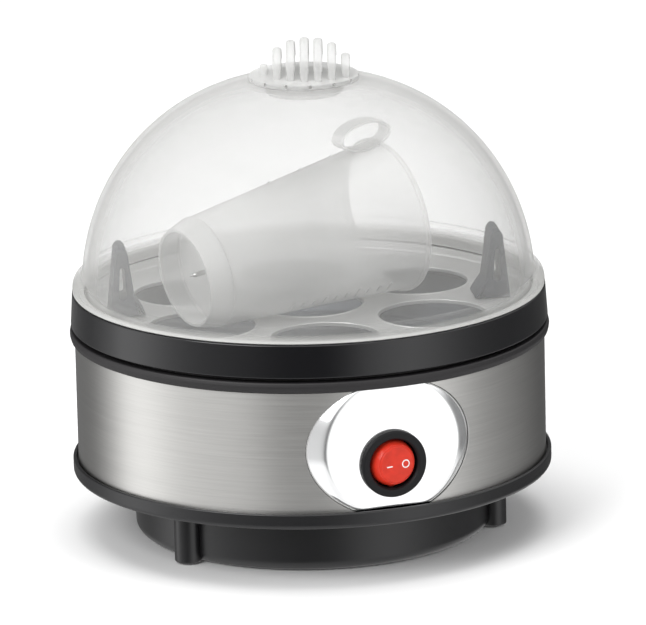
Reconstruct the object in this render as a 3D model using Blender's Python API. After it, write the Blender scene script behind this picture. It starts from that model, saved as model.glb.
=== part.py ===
"""Seven-hole electric egg cooker: base with heater and rocker switch, egg tray, domed lid and measuring cup.

Metres, +Z up. The origin is on the round body's axis, at the surface that the feet stand on, and the switch
faces -Y. Every height is stacked up from the feet, and every round piece is sized from the steel band.
"""

import math

import bmesh
import bpy
from mathutils import Matrix, Vector

GAP = 0.0003            # clearance between pieces that touch
RUNNING_GAP = 0.0004    # clearance round pieces that slide in or out
LARGE_STEPS = 42        # facets round the body
MEDIUM_STEPS = 28       # facets round the knob, the cup and the switch
SMALL_STEPS = 16        # facets round the small pieces
SCREW_STEPS = 12
OVERCUT = 0.004         # how far a cutter runs past what it cuts

# Base shell
FOOT_RADIUS = 0.0647
FOOT_HEIGHT = 0.0223
FOOT_CORNER = 0.0062
BOWL_LIFT = 0.0010
SHELL_WALL = 0.0022
FLANGE_OVERHANG = 0.0019
FLANGE_CORNER = 0.0017
FLANGE_HEIGHT = 0.0057
CHANNEL_LIFT = 0.0040
UPSTAND_HEIGHT = 0.0060
LEG_RADIUS = 0.0048
LEG_INSET = 0.0007           # the legs' centres, inside the foot's wall face
LEG_LIFT = 0.0006
LEG_ANGLES = (-23.5, 90.0, 203.5)
FOOT_PAD_RADIUS = 0.0033
FOOT_PAD_DEPTH = 0.0024

# Cord inlet, at the rear
INLET_X = 0.0240
INLET_HEIGHT = 0.0130
INLET_STANDOFF = 0.0018      # the boss's flat face, outside the foot's radius
INLET_DEPTH = 0.0120
INLET_HALF_WIDTH = 0.0080
INLET_HALF_HEIGHT = 0.0070
GLAND_RADIUS = 0.0052
GLAND_BORE = 0.0037
GLAND_LIP = 0.0012
GLAND_LIP_THICKNESS = 0.0015

# Steel band
BAND_RADIUS = 0.0850
BAND_HEIGHT = 0.0450
BAND_WALL = 0.0005

# Collar that closes the top of the band
COLLAR_OVERHANG = 0.0018
COLLAR_LIP_HEIGHT = 0.0040
COLLAR_LIP_CURL = (0.0014, 0.0030)    # heights where the lip's curl reaches its full width
COLLAR_SPIGOT_HEIGHT = 0.0010
COLLAR_SKIRT_DEPTH = 0.0079
COLLAR_SHELF_WIDTH = 0.0105
COLLAR_SHELF_THICKNESS = 0.0022
POST_INSET = 0.0080
POST_RADIUS = 0.0036
POST_ANGLES = (45.0, 135.0, 225.0, 315.0)
SCREW_RADIUS = 0.0016
SCREW_HEAD_RADIUS = 0.0034
SCREW_HEAD_THICKNESS = 0.0016
SCREW_HEAD_CROWN = 0.0024    # radius of the head's flat top
SCREW_SLOT_DEPTH = 0.0010
SCREW_SLOT_LENGTH = 0.0044
SCREW_LENGTH = 0.0160

# Upper ring, the black band that carries the tray and the lid
RING_HEIGHT = 0.0120
RING_FOOT_OVERHANG = 0.0013
RING_TOP_OVERHANG = 0.0005
RING_WALL = 0.0023
RING_EDGE = 0.0004
SHELF_WIDTH = 0.0072
SHELF_THICKNESS = 0.0016
SHELF_LIFT = 0.0020

# Heating plate, element and controls
PLATE_WALL = 0.0007
PLATE_DEPTH = 0.0145
PLATE_CLEARANCE = 0.0013     # between the plate's wall and the collar's shelf
PLATE_WALL_RUN = 0.0132      # how far the plate's wall slopes in
PLATE_RIM_INSET = 0.0007
GASKET_THICKNESS = 0.0007
ELEMENT_RING = 0.0420
ELEMENT_RADIUS = 0.0032
ELEMENT_GAP_ANGLE = 40.0
ELEMENT_LEG = 0.0140
CLAMP_LENGTH = 0.1000
CLAMP_WIDTH = 0.0180
CLAMP_THICKNESS = 0.0015
STUD_RADIUS = 0.0020
STUD_LENGTH = 0.0140
NUT_RADIUS = 0.0042
NUT_THICKNESS = 0.0032
THERMOSTAT_RADIUS = 0.0080
THERMOSTAT_HEIGHT = 0.0110
THERMOSTAT_WAIST = 0.0061    # height of the wide part, against the plate
THERMOSTAT_STEM = 0.0056     # radius of the narrow part
THERMOSTAT_OFFSET = 0.0220
FUSE_RADIUS = 0.0020
FUSE_LENGTH = 0.0120
FUSE_OFFSET = 0.0220
TAB_SIZE = (0.0060, 0.0080, 0.0008)
TAB_PLACE = (0.0250, -0.0200)
BLOCK_SIZE = (0.0300, 0.0140, 0.0120)
BLOCK_OFFSET = 0.0270
WIRE_RADIUS = 0.0011

# Switch plate and rocker switch
ESCUTCHEON_INSET = 0.0009    # the plate's flat face, inside the band's front
ESCUTCHEON_RADIUS = 0.0266
ESCUTCHEON_DEPTH = 0.0080
ESCUTCHEON_WALL = 0.0020
ESCUTCHEON_FLANK_WALL = 0.0024    # measured along the flat face
SWITCH_DROP = 0.0057         # the switch sits this far below the band's middle
BEZEL_RADIUS = 0.0126
BEZEL_THICKNESS = 0.0018
BEZEL_CHAMFER = 0.0006
SWITCH_BODY_RADIUS = 0.0102
SWITCH_BODY_DEPTH = 0.0204
SWITCH_WALL = 0.0013
ROCKER_RADIUS = 0.0085
ROCKER_FACE_RISE = 0.0052    # from the pivot to the rocker's face
ROCKER_BACK = 0.0030
ROCKER_PROUD = 0.0006
ROCKER_TILT = 9.0
TRUNNION_RADIUS = 0.0012
TRUNNION_REACH = 0.0094
LAMP_RADIUS = 0.0022
LAMP_LENGTH = 0.0100
LAMP_DEPTH = 0.0096
TERMINAL_SIZE = (0.0008, 0.0048, 0.0077)
TERMINAL_PITCH = 0.0055

# Egg tray and its handles
TRAY_THICKNESS = 0.0011
TRAY_RIM_HEIGHT = 0.0043
TRAY_RIM_WALL = 0.0010
HOLE_RADIUS = 0.0194
HOLE_MARGIN = 0.0150         # from the tray's edge to the outer holes
HOLE_COUNT = 6
HOLE_START = -103.0
HANDLE_INSET = 0.0146
HANDLE_ANGLES = {"tray_handle_left": 167.0, "tray_handle_right": -13.0}
HANDLE_HEIGHT = 0.0258
HANDLE_LENGTH = 0.0150
HANDLE_FOOT_HALF = 0.0046
HANDLE_TOP_HALF = 0.0021
HANDLE_FLARE = 0.0036
HANDLE_SLOT_LOW = 0.0062
HANDLE_SLOT_HIGH = 0.0180
HANDLE_SLOT_HALF = 0.0015
PEG_RADIUS = 0.0020
PEG_HEAD = 0.0028
PEG_HEAD_THICKNESS = 0.0010

# Lid
LID_WALL = 0.0015
DOME_RADIUS_INSET = 0.0031   # from the band's radius to the dome's
DOME_HEIGHT = 0.0780
DOME_POWER = 2.2             # roundness of the dome: 2 is an ellipse
DOME_POINTS = 11
LID_FLANGE_THICKNESS = 0.0016
LID_SHOULDER_HEIGHT = 0.0058
SPIGOT_DEPTH = 0.0030
SPIGOT_WALL = 0.0013
VENT_RADIUS = 0.0136
VENT_SEAT_RADIUS = 0.0204
KNOB_RADIUS = 0.0198
KNOB_BASE_HEIGHT = 0.0052
KNOB_HEIGHT = 0.0166
KNOB_CROWN_RADIUS = 0.0186
KNOB_WALL = 0.0020
FIN_COUNT = 8
FIN_PITCH = 0.0048
FIN_GAP = 0.0022
FIN_ANGLE = -20.4            # the fins stand edge-on to someone a little left of the switch
KNOB_COLLAR_RADIUS = 0.0132
KNOB_COLLAR_WALL = 0.0012
KNOB_COLLAR_DEPTH = 0.0034
KNOB_SNAP = 0.0009
STEAM_HOLES = 10
STEAM_HOLE_RADIUS = 0.0009

# Measuring cup, lying on the tray
CUP_LENGTH = 0.0880
CUP_BASE_RADIUS = 0.0180
CUP_STEP_RADIUS = 0.0206
CUP_STEP = 0.0155
CUP_MOUTH_RADIUS = 0.0276
CUP_BEAD = 0.0011
CUP_BEAD_WIDTH = 0.0018
CUP_WALL = 0.0012
CUP_PLACE = (-0.0535, -0.0104)
CUP_HEADING = 9.2
LOOP_PLACE = 0.0806          # from the cup's small end to the middle of its loop
LOOP_WIDTH = 0.0116
LOOP_HALF_SPAN = 0.0100
LOOP_RISE = 0.0112
LOOP_WALL = 0.0014
PIN_RADIUS = 0.0009
PIN_LENGTH = 0.0115
PIN_TIP = 0.0030

# Heights and radii that follow from the sizes above
LEG_RING = FOOT_RADIUS - LEG_INSET
INLET_FACE = FOOT_RADIUS + INLET_STANDOFF
FLANGE_RADIUS = BAND_RADIUS + FLANGE_OVERHANG
FLANGE_TOP = FOOT_HEIGHT + FLANGE_HEIGHT
CHANNEL_FLOOR = FOOT_HEIGHT + CHANNEL_LIFT
BASE_DECK = FOOT_HEIGHT + SHELL_WALL
BAND_BOTTOM = CHANNEL_FLOOR + GAP
BAND_TOP = BAND_BOTTOM + BAND_HEIGHT
BAND_INSIDE = BAND_RADIUS - BAND_WALL
SKIRT_OUTSIDE = BAND_INSIDE - GAP
SKIRT_INSIDE = SKIRT_OUTSIDE - SHELL_WALL
COLLAR_RADIUS = BAND_RADIUS + COLLAR_OVERHANG
COLLAR_SHELF_RADIUS = BAND_RADIUS - COLLAR_SHELF_WIDTH
POST_RING = BAND_RADIUS - POST_INSET
LIP_BOTTOM = BAND_TOP + GAP
LIP_TOP = LIP_BOTTOM + COLLAR_LIP_HEIGHT
COLLAR_TOP = LIP_TOP + COLLAR_SPIGOT_HEIGHT
RING_BOTTOM = COLLAR_TOP + GAP
RING_TOP = RING_BOTTOM + RING_HEIGHT
RING_INSIDE = BAND_RADIUS + RING_TOP_OVERHANG - RING_WALL
SHELF_RADIUS = RING_INSIDE - SHELF_WIDTH
SHELF_BOTTOM = RING_BOTTOM + SHELF_LIFT
SHELF_TOP = SHELF_BOTTOM + SHELF_THICKNESS
RIM_RADIUS = RING_INSIDE - PLATE_RIM_INSET
PLATE_WALL_RADIUS = COLLAR_SHELF_RADIUS - PLATE_CLEARANCE
PLATE_FLOOR_RADIUS = PLATE_WALL_RADIUS - PLATE_WALL_RUN
PLATE_TOP = RING_BOTTOM + PLATE_WALL
PLATE_FLOOR_TOP = PLATE_TOP - PLATE_DEPTH
PLATE_UNDERSIDE = PLATE_FLOOR_TOP - PLATE_WALL
TRAY_RADIUS = RING_INSIDE - 2 * GAP
TRAY_BOTTOM = SHELF_TOP + GAP
TRAY_TOP = TRAY_BOTTOM + TRAY_THICKNESS
TRAY_RIM_TOP = TRAY_BOTTOM + TRAY_RIM_HEIGHT
HOLE_RING = TRAY_RADIUS - HOLE_MARGIN - HOLE_RADIUS
HANDLE_RING = TRAY_RADIUS - HANDLE_INSET
DOME_RADIUS = BAND_RADIUS - DOME_RADIUS_INSET
LID_BOTTOM = RING_TOP + GAP
SPIGOT_RADIUS = DOME_RADIUS - 2 * RUNNING_GAP
ELEMENT_HEIGHT = PLATE_UNDERSIDE - GAP - ELEMENT_RADIUS
CLAMP_TOP = ELEMENT_HEIGHT - ELEMENT_RADIUS - GAP
NUT_TOP = CLAMP_TOP - CLAMP_THICKNESS - GAP
SWITCH_HEIGHT = (FLANGE_TOP + BAND_TOP) / 2 - SWITCH_DROP
ESCUTCHEON_FACE = BAND_RADIUS - ESCUTCHEON_INSET
SWITCH_SEAT = ESCUTCHEON_FACE + GAP
BEZEL_FACE = SWITCH_SEAT + BEZEL_THICKNESS
SWITCH_BACK = SWITCH_SEAT - SWITCH_BODY_DEPTH
PIVOT = BEZEL_FACE + ROCKER_PROUD - ROCKER_FACE_RISE


def clear_scene():
    """Removes every object of the open file."""
    for old in list(bpy.data.objects):
        bpy.data.objects.remove(old)


def finish(name, colour, roughness, metallic=0.0, alpha=1.0):
    """A Principled material with one colour, roughness and metallic value."""
    made = bpy.data.materials.new(name)
    made.use_nodes = True
    shader = made.node_tree.nodes["Principled BSDF"]
    shader.inputs["Base Color"].default_value = (*colour, 1.0)
    shader.inputs["Roughness"].default_value = roughness
    shader.inputs["Metallic"].default_value = metallic
    shader.inputs["Alpha"].default_value = alpha
    return made


def mesh_object(name, points, faces, material, parent=None):
    """A new object from points and faces, with its faces pointing out."""
    mesh = bpy.data.meshes.new(name)
    mesh.from_pydata([tuple(p) for p in points], [], faces)
    work = bmesh.new()
    work.from_mesh(mesh)
    bmesh.ops.recalc_face_normals(work, faces=work.faces)
    work.to_mesh(mesh)
    work.free()
    mesh.shade_smooth()
    mesh.set_sharp_from_angle(angle=math.radians(35))
    made = bpy.data.objects.new(name, mesh)
    bpy.context.scene.collection.objects.link(made)
    if material is not None:
        mesh.materials.append(material)
    made.parent = parent
    return made


def revolved(outline, steps):
    """Points and faces of a closed outline of (radius, height) turned about Z; radius 0 makes a pole."""
    points, rows, faces = [], [], []
    for radius, height in outline:
        if radius == 0:
            rows.append([len(points)] * steps)
            points.append((0.0, 0.0, height))
            continue
        rows.append([len(points) + i for i in range(steps)])
        for i in range(steps):
            turn = 2 * math.pi * i / steps
            points.append((radius * math.cos(turn), radius * math.sin(turn), height))
    for low, high in zip(rows, rows[1:] + rows[:1]):
        for i in range(steps):
            j = (i + 1) % steps
            corners = list(dict.fromkeys((low[i], low[j], high[j], high[i])))
            if len(corners) > 2:
                faces.append(corners)
    return points, faces


def turned(name, outline, steps, material, parent=None):
    """An object turned about Z from its outline."""
    return mesh_object(name, *revolved(outline, steps), material, parent)


def rod(name, radius, low, high, steps, material=None, centre=(0.0, 0.0), parent=None):
    """A cylinder along Z, standing at centre from low to high."""
    points, faces = revolved([(0, low), (radius, low), (radius, high), (0, high)], steps)
    moved = [(x + centre[0], y + centre[1], z) for x, y, z in points]
    return mesh_object(name, moved, faces, material, parent)


def block(name, low, high, material=None, parent=None):
    """A box between two corners."""
    points = [(x, y, z) for x in (low[0], high[0]) for y in (low[1], high[1]) for z in (low[2], high[2])]
    faces = [(0, 1, 3, 2), (4, 6, 7, 5), (0, 4, 5, 1), (2, 3, 7, 6), (0, 2, 6, 4), (1, 5, 7, 3)]
    return mesh_object(name, points, faces, material, parent)


def prism(name, outline, half_depth, material=None, parent=None):
    """An outline of (x, z) made solid from -half_depth to +half_depth along Y."""
    count = len(outline)
    points = [(x, side, z) for side in (-half_depth, half_depth) for x, z in outline]
    faces = [tuple(range(count)), tuple(range(count, 2 * count))]
    faces += [(i, (i + 1) % count, count + (i + 1) % count, count + i) for i in range(count)]
    return mesh_object(name, points, faces, material, parent)


def combine(target, helper, operation):
    """Applies helper to target by a live Boolean, and keeps helper as a guide only."""
    helper.hide_render = True
    helper.display_type = "WIRE"
    modifier = target.modifiers.new(f"{operation.lower()} {helper.name}", "BOOLEAN")
    modifier.operation = operation
    modifier.solver = "EXACT"
    modifier.object = helper


def cut(target, helper):
    """Takes helper away from target."""
    combine(target, helper, "DIFFERENCE")


def join(target, helper):
    """Adds helper to target."""
    combine(target, helper, "UNION")


def tube(name, route, radius, material, samples=3):
    """A wire or bent rod through route, as a smooth curve (Catmull-Rom) with filled ends."""
    known = [Vector(p) for p in route]
    padded = [2 * known[0] - known[1], *known, 2 * known[-1] - known[-2]]
    line = []
    for a, b, c, d in zip(padded, padded[1:], padded[2:], padded[3:]):
        for step in range(samples):
            t = step / samples
            line.append(0.5 * (2 * b + (c - a) * t + (2 * a - 5 * b + 4 * c - d) * t**2
                               + (3 * b - a - 3 * c + d) * t**3))
    line.append(known[-1])
    curve = bpy.data.curves.new(name, "CURVE")
    curve.dimensions = "3D"
    spline = curve.splines.new("POLY")
    spline.points.add(len(line) - 1)
    for point, place in zip(spline.points, line):
        point.co = (*place, 1.0)
    curve.bevel_depth = radius
    curve.bevel_resolution = 2
    curve.use_fill_caps = True
    curve.materials.append(material)
    made = bpy.data.objects.new(name, curve)
    bpy.context.scene.collection.objects.link(made)
    return made


def arc(centre, radius, start, end, count):
    """Points (r, z) on an arc, both ends included, angles in degrees."""
    turns = [math.radians(start + (end - start) * i / (count - 1)) for i in range(count)]
    return [(centre[0] + radius * math.cos(t), centre[1] + radius * math.sin(t)) for t in turns]


def on_ring(radius, degrees):
    """(x, y) at radius and angle about the body's axis."""
    return radius * math.cos(math.radians(degrees)), radius * math.sin(math.radians(degrees))


def band_notch(low, high):
    """A cutter for what stands just inside the steel band, where the switch plate passes, from low to high."""
    half = ESCUTCHEON_RADIUS + ESCUTCHEON_DEPTH + 2 * GAP
    ring = turned(f"notch_ring_{low:.4f}", [
        (SKIRT_INSIDE - OVERCUT, low), (SKIRT_OUTSIDE + GAP, low),
        (SKIRT_OUTSIDE + GAP, high), (SKIRT_INSIDE - OVERCUT, high),
    ], LARGE_STEPS, None)
    combine(ring, block(f"notch_width_{low:.4f}", (-half, -FLANGE_RADIUS, low - OVERCUT),
                        (half, -BAND_RADIUS / 2, high + OVERCUT)), "INTERSECT")
    return ring


def base_housing(black):
    """The moulded base: foot bowl, flange with the band's channel, legs and the cord inlet."""
    corner = (FOOT_RADIUS - FOOT_CORNER, BOWL_LIFT + FOOT_CORNER)
    outline = [(0, BOWL_LIFT)]
    outline += arc(corner, FOOT_CORNER, -90, 0, 4)
    outline += [
        (FOOT_RADIUS, FOOT_HEIGHT),
        (FLANGE_RADIUS - FLANGE_CORNER, FOOT_HEIGHT),
        (FLANGE_RADIUS, FOOT_HEIGHT + FLANGE_CORNER),
        (FLANGE_RADIUS, FLANGE_TOP),
        (BAND_RADIUS + 2 * GAP, FLANGE_TOP),
        (BAND_RADIUS + 2 * GAP, CHANNEL_FLOOR),
        (SKIRT_OUTSIDE, CHANNEL_FLOOR),
        (SKIRT_OUTSIDE, CHANNEL_FLOOR + UPSTAND_HEIGHT),
        (SKIRT_INSIDE, CHANNEL_FLOOR + UPSTAND_HEIGHT),
        (SKIRT_INSIDE, BASE_DECK),
        (FOOT_RADIUS - SHELL_WALL, BASE_DECK),
    ]
    outline += arc(corner, FOOT_CORNER - SHELL_WALL, 0, -90, 3)
    outline += [(0, BOWL_LIFT + SHELL_WALL)]
    base = turned("base_housing", outline, LARGE_STEPS, black)
    for number, angle in enumerate(LEG_ANGLES, 1):
        place = on_ring(LEG_RING, angle)
        join(base, rod(f"leg_{number}", LEG_RADIUS, LEG_LIFT, BASE_DECK - SHELL_WALL / 2, SMALL_STEPS,
                       centre=place))
        cut(base, rod(f"foot_seat_{number}", FOOT_PAD_RADIUS + GAP, LEG_LIFT - OVERCUT,
                      FOOT_PAD_DEPTH + GAP, SMALL_STEPS, centre=place))
    for number, angle in enumerate(POST_ANGLES, 1):
        cut(base, rod(f"screw_hole_{number}", SCREW_RADIUS + GAP, FOOT_HEIGHT - OVERCUT,
                      BASE_DECK + OVERCUT, SCREW_STEPS, centre=on_ring(POST_RING, angle)))
    join(base, block("inlet_boss",
                     (INLET_X - INLET_HALF_WIDTH, INLET_FACE - INLET_DEPTH, INLET_HEIGHT - INLET_HALF_HEIGHT),
                     (INLET_X + INLET_HALF_WIDTH, INLET_FACE, INLET_HEIGHT + INLET_HALF_HEIGHT)))
    bore = rod("inlet_bore", GLAND_RADIUS + GAP, -INLET_FACE - OVERCUT, -INLET_FACE + INLET_DEPTH + OVERCUT,
               SMALL_STEPS)
    bore.rotation_euler = (math.pi / 2, 0, 0)
    bore.location = (INLET_X, 0, INLET_HEIGHT)
    cut(base, bore)
    cut(base, band_notch(CHANNEL_FLOOR + GAP, CHANNEL_FLOOR + UPSTAND_HEIGHT + OVERCUT))


def feet_and_gland(rubber):
    """Three rubber feet in the legs, and the bushing that lines the cord inlet."""
    for number, angle in enumerate(LEG_ANGLES, 1):
        rod(f"rubber_foot_{number}", FOOT_PAD_RADIUS, 0, FOOT_PAD_DEPTH, SMALL_STEPS, rubber,
            centre=on_ring(LEG_RING, angle))
    front = INLET_FACE + GAP
    back = INLET_FACE - INLET_DEPTH - GAP
    lip = GLAND_RADIUS + GLAND_LIP
    gland = turned("cord_gland", [
        (GLAND_BORE, back - GLAND_LIP_THICKNESS), (lip, back - GLAND_LIP_THICKNESS), (lip, back),
        (GLAND_RADIUS, back), (GLAND_RADIUS, front), (lip, front),
        (lip - GLAND_LIP / 2, front + GLAND_LIP_THICKNESS), (GLAND_BORE, front + GLAND_LIP_THICKNESS),
    ], SMALL_STEPS, rubber)
    gland.rotation_euler = (-math.pi / 2, 0, 0)
    gland.location = (INLET_X, 0, INLET_HEIGHT)


def switch_cone(name, clearance, front, back, parent):
    """A solid cone along the switch's axis that follows the plate's flank, clearance outside it."""
    rise = ESCUTCHEON_RADIUS + clearance
    outline = [(0, back), (rise + ESCUTCHEON_FACE - back, back), (rise + ESCUTCHEON_FACE - front, front),
               (0, front)]
    return turned(name, outline, LARGE_STEPS, None, parent)


def steel_band(steel, switch_side):
    """The steel band, a strip whose ends stop at the switch plate."""
    band = turned("steel_band", [
        (BAND_RADIUS, BAND_BOTTOM), (BAND_RADIUS, BAND_TOP),
        (BAND_INSIDE, BAND_TOP), (BAND_INSIDE, BAND_BOTTOM),
    ], LARGE_STEPS, steel)
    front = BAND_RADIUS + OVERCUT
    cut(band, switch_cone("band_opening", 2 * GAP, front, BAND_RADIUS / 2, switch_side))


def collar(black):
    """The collar on top of the band: curled lip, skirt inside the band, inner shelf and screw posts."""
    ring = turned("collar", [
        (SKIRT_OUTSIDE, LIP_BOTTOM - COLLAR_SKIRT_DEPTH),
        (SKIRT_OUTSIDE, LIP_BOTTOM),
        (BAND_RADIUS + GAP, LIP_BOTTOM),
        (COLLAR_RADIUS - GAP, LIP_BOTTOM + COLLAR_LIP_CURL[0]),
        (COLLAR_RADIUS, LIP_BOTTOM + COLLAR_LIP_CURL[1]),
        (COLLAR_RADIUS - GAP, LIP_TOP),
        (BAND_RADIUS, LIP_TOP),
        (BAND_RADIUS, COLLAR_TOP),
        (COLLAR_SHELF_RADIUS, COLLAR_TOP),
        (COLLAR_SHELF_RADIUS, COLLAR_TOP - COLLAR_SHELF_THICKNESS),
        (SKIRT_INSIDE, COLLAR_TOP - COLLAR_SHELF_THICKNESS),
        (SKIRT_INSIDE, LIP_BOTTOM - COLLAR_SKIRT_DEPTH),
    ], LARGE_STEPS, black)
    for number, angle in enumerate(POST_ANGLES, 1):
        place = on_ring(POST_RING, angle)
        join(ring, rod(f"post_{number}", POST_RADIUS, BASE_DECK + GAP,
                       COLLAR_TOP - COLLAR_SHELF_THICKNESS / 2, SCREW_STEPS, centre=place))
        cut(ring, rod(f"post_bore_{number}", SCREW_RADIUS + GAP, BASE_DECK - OVERCUT,
                      FOOT_HEIGHT + SCREW_LENGTH + 2 * GAP, SCREW_STEPS, centre=place))
    cut(ring, band_notch(LIP_BOTTOM - COLLAR_SKIRT_DEPTH - OVERCUT, LIP_BOTTOM - GAP / 2))


def housing_screws(steel):
    """Four pan-head screws that pull the collar down onto the base."""
    top = FOOT_HEIGHT - GAP
    slot_half = SCREW_SLOT_LENGTH / 2
    for number, angle in enumerate(POST_ANGLES, 1):
        screw = turned(f"housing_screw_{number}", [
            (0, top - SCREW_HEAD_THICKNESS), (SCREW_HEAD_CROWN, top - SCREW_HEAD_THICKNESS),
            (SCREW_HEAD_RADIUS, top - SCREW_HEAD_THICKNESS / 2), (SCREW_HEAD_RADIUS, top),
            (SCREW_RADIUS, top), (SCREW_RADIUS, top + SCREW_LENGTH), (0, top + SCREW_LENGTH),
        ], SCREW_STEPS, steel)
        screw.location = (*on_ring(POST_RING, angle), 0)
        slot = block(f"screw_slot_{number}", (-slot_half, -GAP, top - SCREW_HEAD_THICKNESS - OVERCUT),
                     (slot_half, GAP, top - SCREW_HEAD_THICKNESS + SCREW_SLOT_DEPTH), parent=screw)
        cut(screw, slot)


def upper_ring(black):
    """The black ring above the collar, with the shelf that the tray rests on."""
    foot = BAND_RADIUS + RING_FOOT_OVERHANG
    top = BAND_RADIUS + RING_TOP_OVERHANG
    turned("upper_ring", [
        (RING_INSIDE - GAP, RING_BOTTOM), (foot, RING_BOTTOM), (top, RING_TOP - RING_EDGE),
        (top - RING_EDGE, RING_TOP), (RING_INSIDE, RING_TOP), (RING_INSIDE, SHELF_TOP),
        (SHELF_RADIUS, SHELF_TOP), (SHELF_RADIUS, SHELF_BOTTOM), (RING_INSIDE - GAP, SHELF_BOTTOM),
    ], LARGE_STEPS, black)


def heating_plate(steel, rubber):
    """The pressed plate that boils the water, and the gasket on its rim."""
    turned("heating_plate", [
        (0, PLATE_UNDERSIDE), (PLATE_FLOOR_RADIUS, PLATE_UNDERSIDE), (PLATE_WALL_RADIUS, RING_BOTTOM),
        (RIM_RADIUS, RING_BOTTOM), (RIM_RADIUS, PLATE_TOP), (PLATE_WALL_RADIUS - PLATE_WALL, PLATE_TOP),
        (PLATE_FLOOR_RADIUS - PLATE_WALL, PLATE_FLOOR_TOP), (0, PLATE_FLOOR_TOP),
    ], LARGE_STEPS, steel)
    low = PLATE_TOP + GAP
    turned("plate_gasket", [
        (SHELF_RADIUS, low), (RIM_RADIUS, low),
        (RIM_RADIUS, low + GASKET_THICKNESS), (SHELF_RADIUS, low + GASKET_THICKNESS),
    ], LARGE_STEPS, rubber)


def element_end(side):
    """(x, y) of one end of the element's ring: side -1 is left, +1 is right."""
    return on_ring(ELEMENT_RING, 90 - side * ELEMENT_GAP_ANGLE / 2)


def heating_element(steel):
    """The tubular element: an open ring against the plate, whose ends turn down."""
    arc_span = 360 - ELEMENT_GAP_ANGLE
    count = 20
    start = 90 + ELEMENT_GAP_ANGLE / 2
    ring = [(*on_ring(ELEMENT_RING, start + arc_span * i / (count - 1)), ELEMENT_HEIGHT) for i in range(count)]
    first, last = ring[0], ring[-1]
    down = Vector((0, 0, ELEMENT_LEG))
    tube("heating_element", [Vector(first) - down, Vector(first) - down / 2, *ring,
                             Vector(last) - down / 2, Vector(last) - down], ELEMENT_RADIUS, steel, samples=1)


def element_clamp(steel):
    """The strip, stud and nut that press the element against the plate."""
    strip = block("element_clamp", (-CLAMP_LENGTH / 2, -CLAMP_WIDTH / 2, CLAMP_TOP - CLAMP_THICKNESS),
                  (CLAMP_LENGTH / 2, CLAMP_WIDTH / 2, CLAMP_TOP), steel)
    cut(strip, rod("clamp_hole", STUD_RADIUS + GAP, CLAMP_TOP - CLAMP_THICKNESS - OVERCUT,
                   CLAMP_TOP + OVERCUT, SCREW_STEPS))
    stud_top = PLATE_UNDERSIDE - GAP
    rod("clamp_stud", STUD_RADIUS, stud_top - STUD_LENGTH, stud_top, SCREW_STEPS, steel)
    bore = STUD_RADIUS + GAP
    turned("clamp_nut", [(bore, NUT_TOP - NUT_THICKNESS), (NUT_RADIUS, NUT_TOP - NUT_THICKNESS),
                         (NUT_RADIUS, NUT_TOP), (bore, NUT_TOP)], 6, steel)


def plate_controls(phenolic, steel, copper):
    """Thermostat, thermal fuse and earth tab under the plate."""
    seat = PLATE_UNDERSIDE - GAP
    waist = seat - THERMOSTAT_WAIST
    thermostat = turned("thermostat", [
        (0, seat - THERMOSTAT_HEIGHT), (THERMOSTAT_STEM, seat - THERMOSTAT_HEIGHT),
        (THERMOSTAT_STEM, waist), (THERMOSTAT_RADIUS, waist), (THERMOSTAT_RADIUS, seat), (0, seat),
    ], SMALL_STEPS, phenolic)
    thermostat.location = (0, -THERMOSTAT_OFFSET, 0)
    fuse = rod("thermal_fuse", FUSE_RADIUS, -FUSE_LENGTH / 2, FUSE_LENGTH / 2, SCREW_STEPS, steel)
    fuse.rotation_euler = (0, math.pi / 2, 0)
    fuse.location = (0, FUSE_OFFSET, seat - FUSE_RADIUS)
    half = (TAB_SIZE[0] / 2, TAB_SIZE[1] / 2)
    block("earth_tab", (TAB_PLACE[0] - half[0], TAB_PLACE[1] - half[1], seat - TAB_SIZE[2]),
          (TAB_PLACE[0] + half[0], TAB_PLACE[1] + half[1], seat), copper)


def terminal_block(ceramic):
    """The terminal block on the base's floor."""
    floor = BOWL_LIFT + SHELL_WALL + GAP
    return block("terminal_block", (-BLOCK_SIZE[0] / 2, BLOCK_OFFSET - BLOCK_SIZE[1] / 2, floor),
                 (BLOCK_SIZE[0] / 2, BLOCK_OFFSET + BLOCK_SIZE[1] / 2, floor + BLOCK_SIZE[2]), ceramic)


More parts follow.
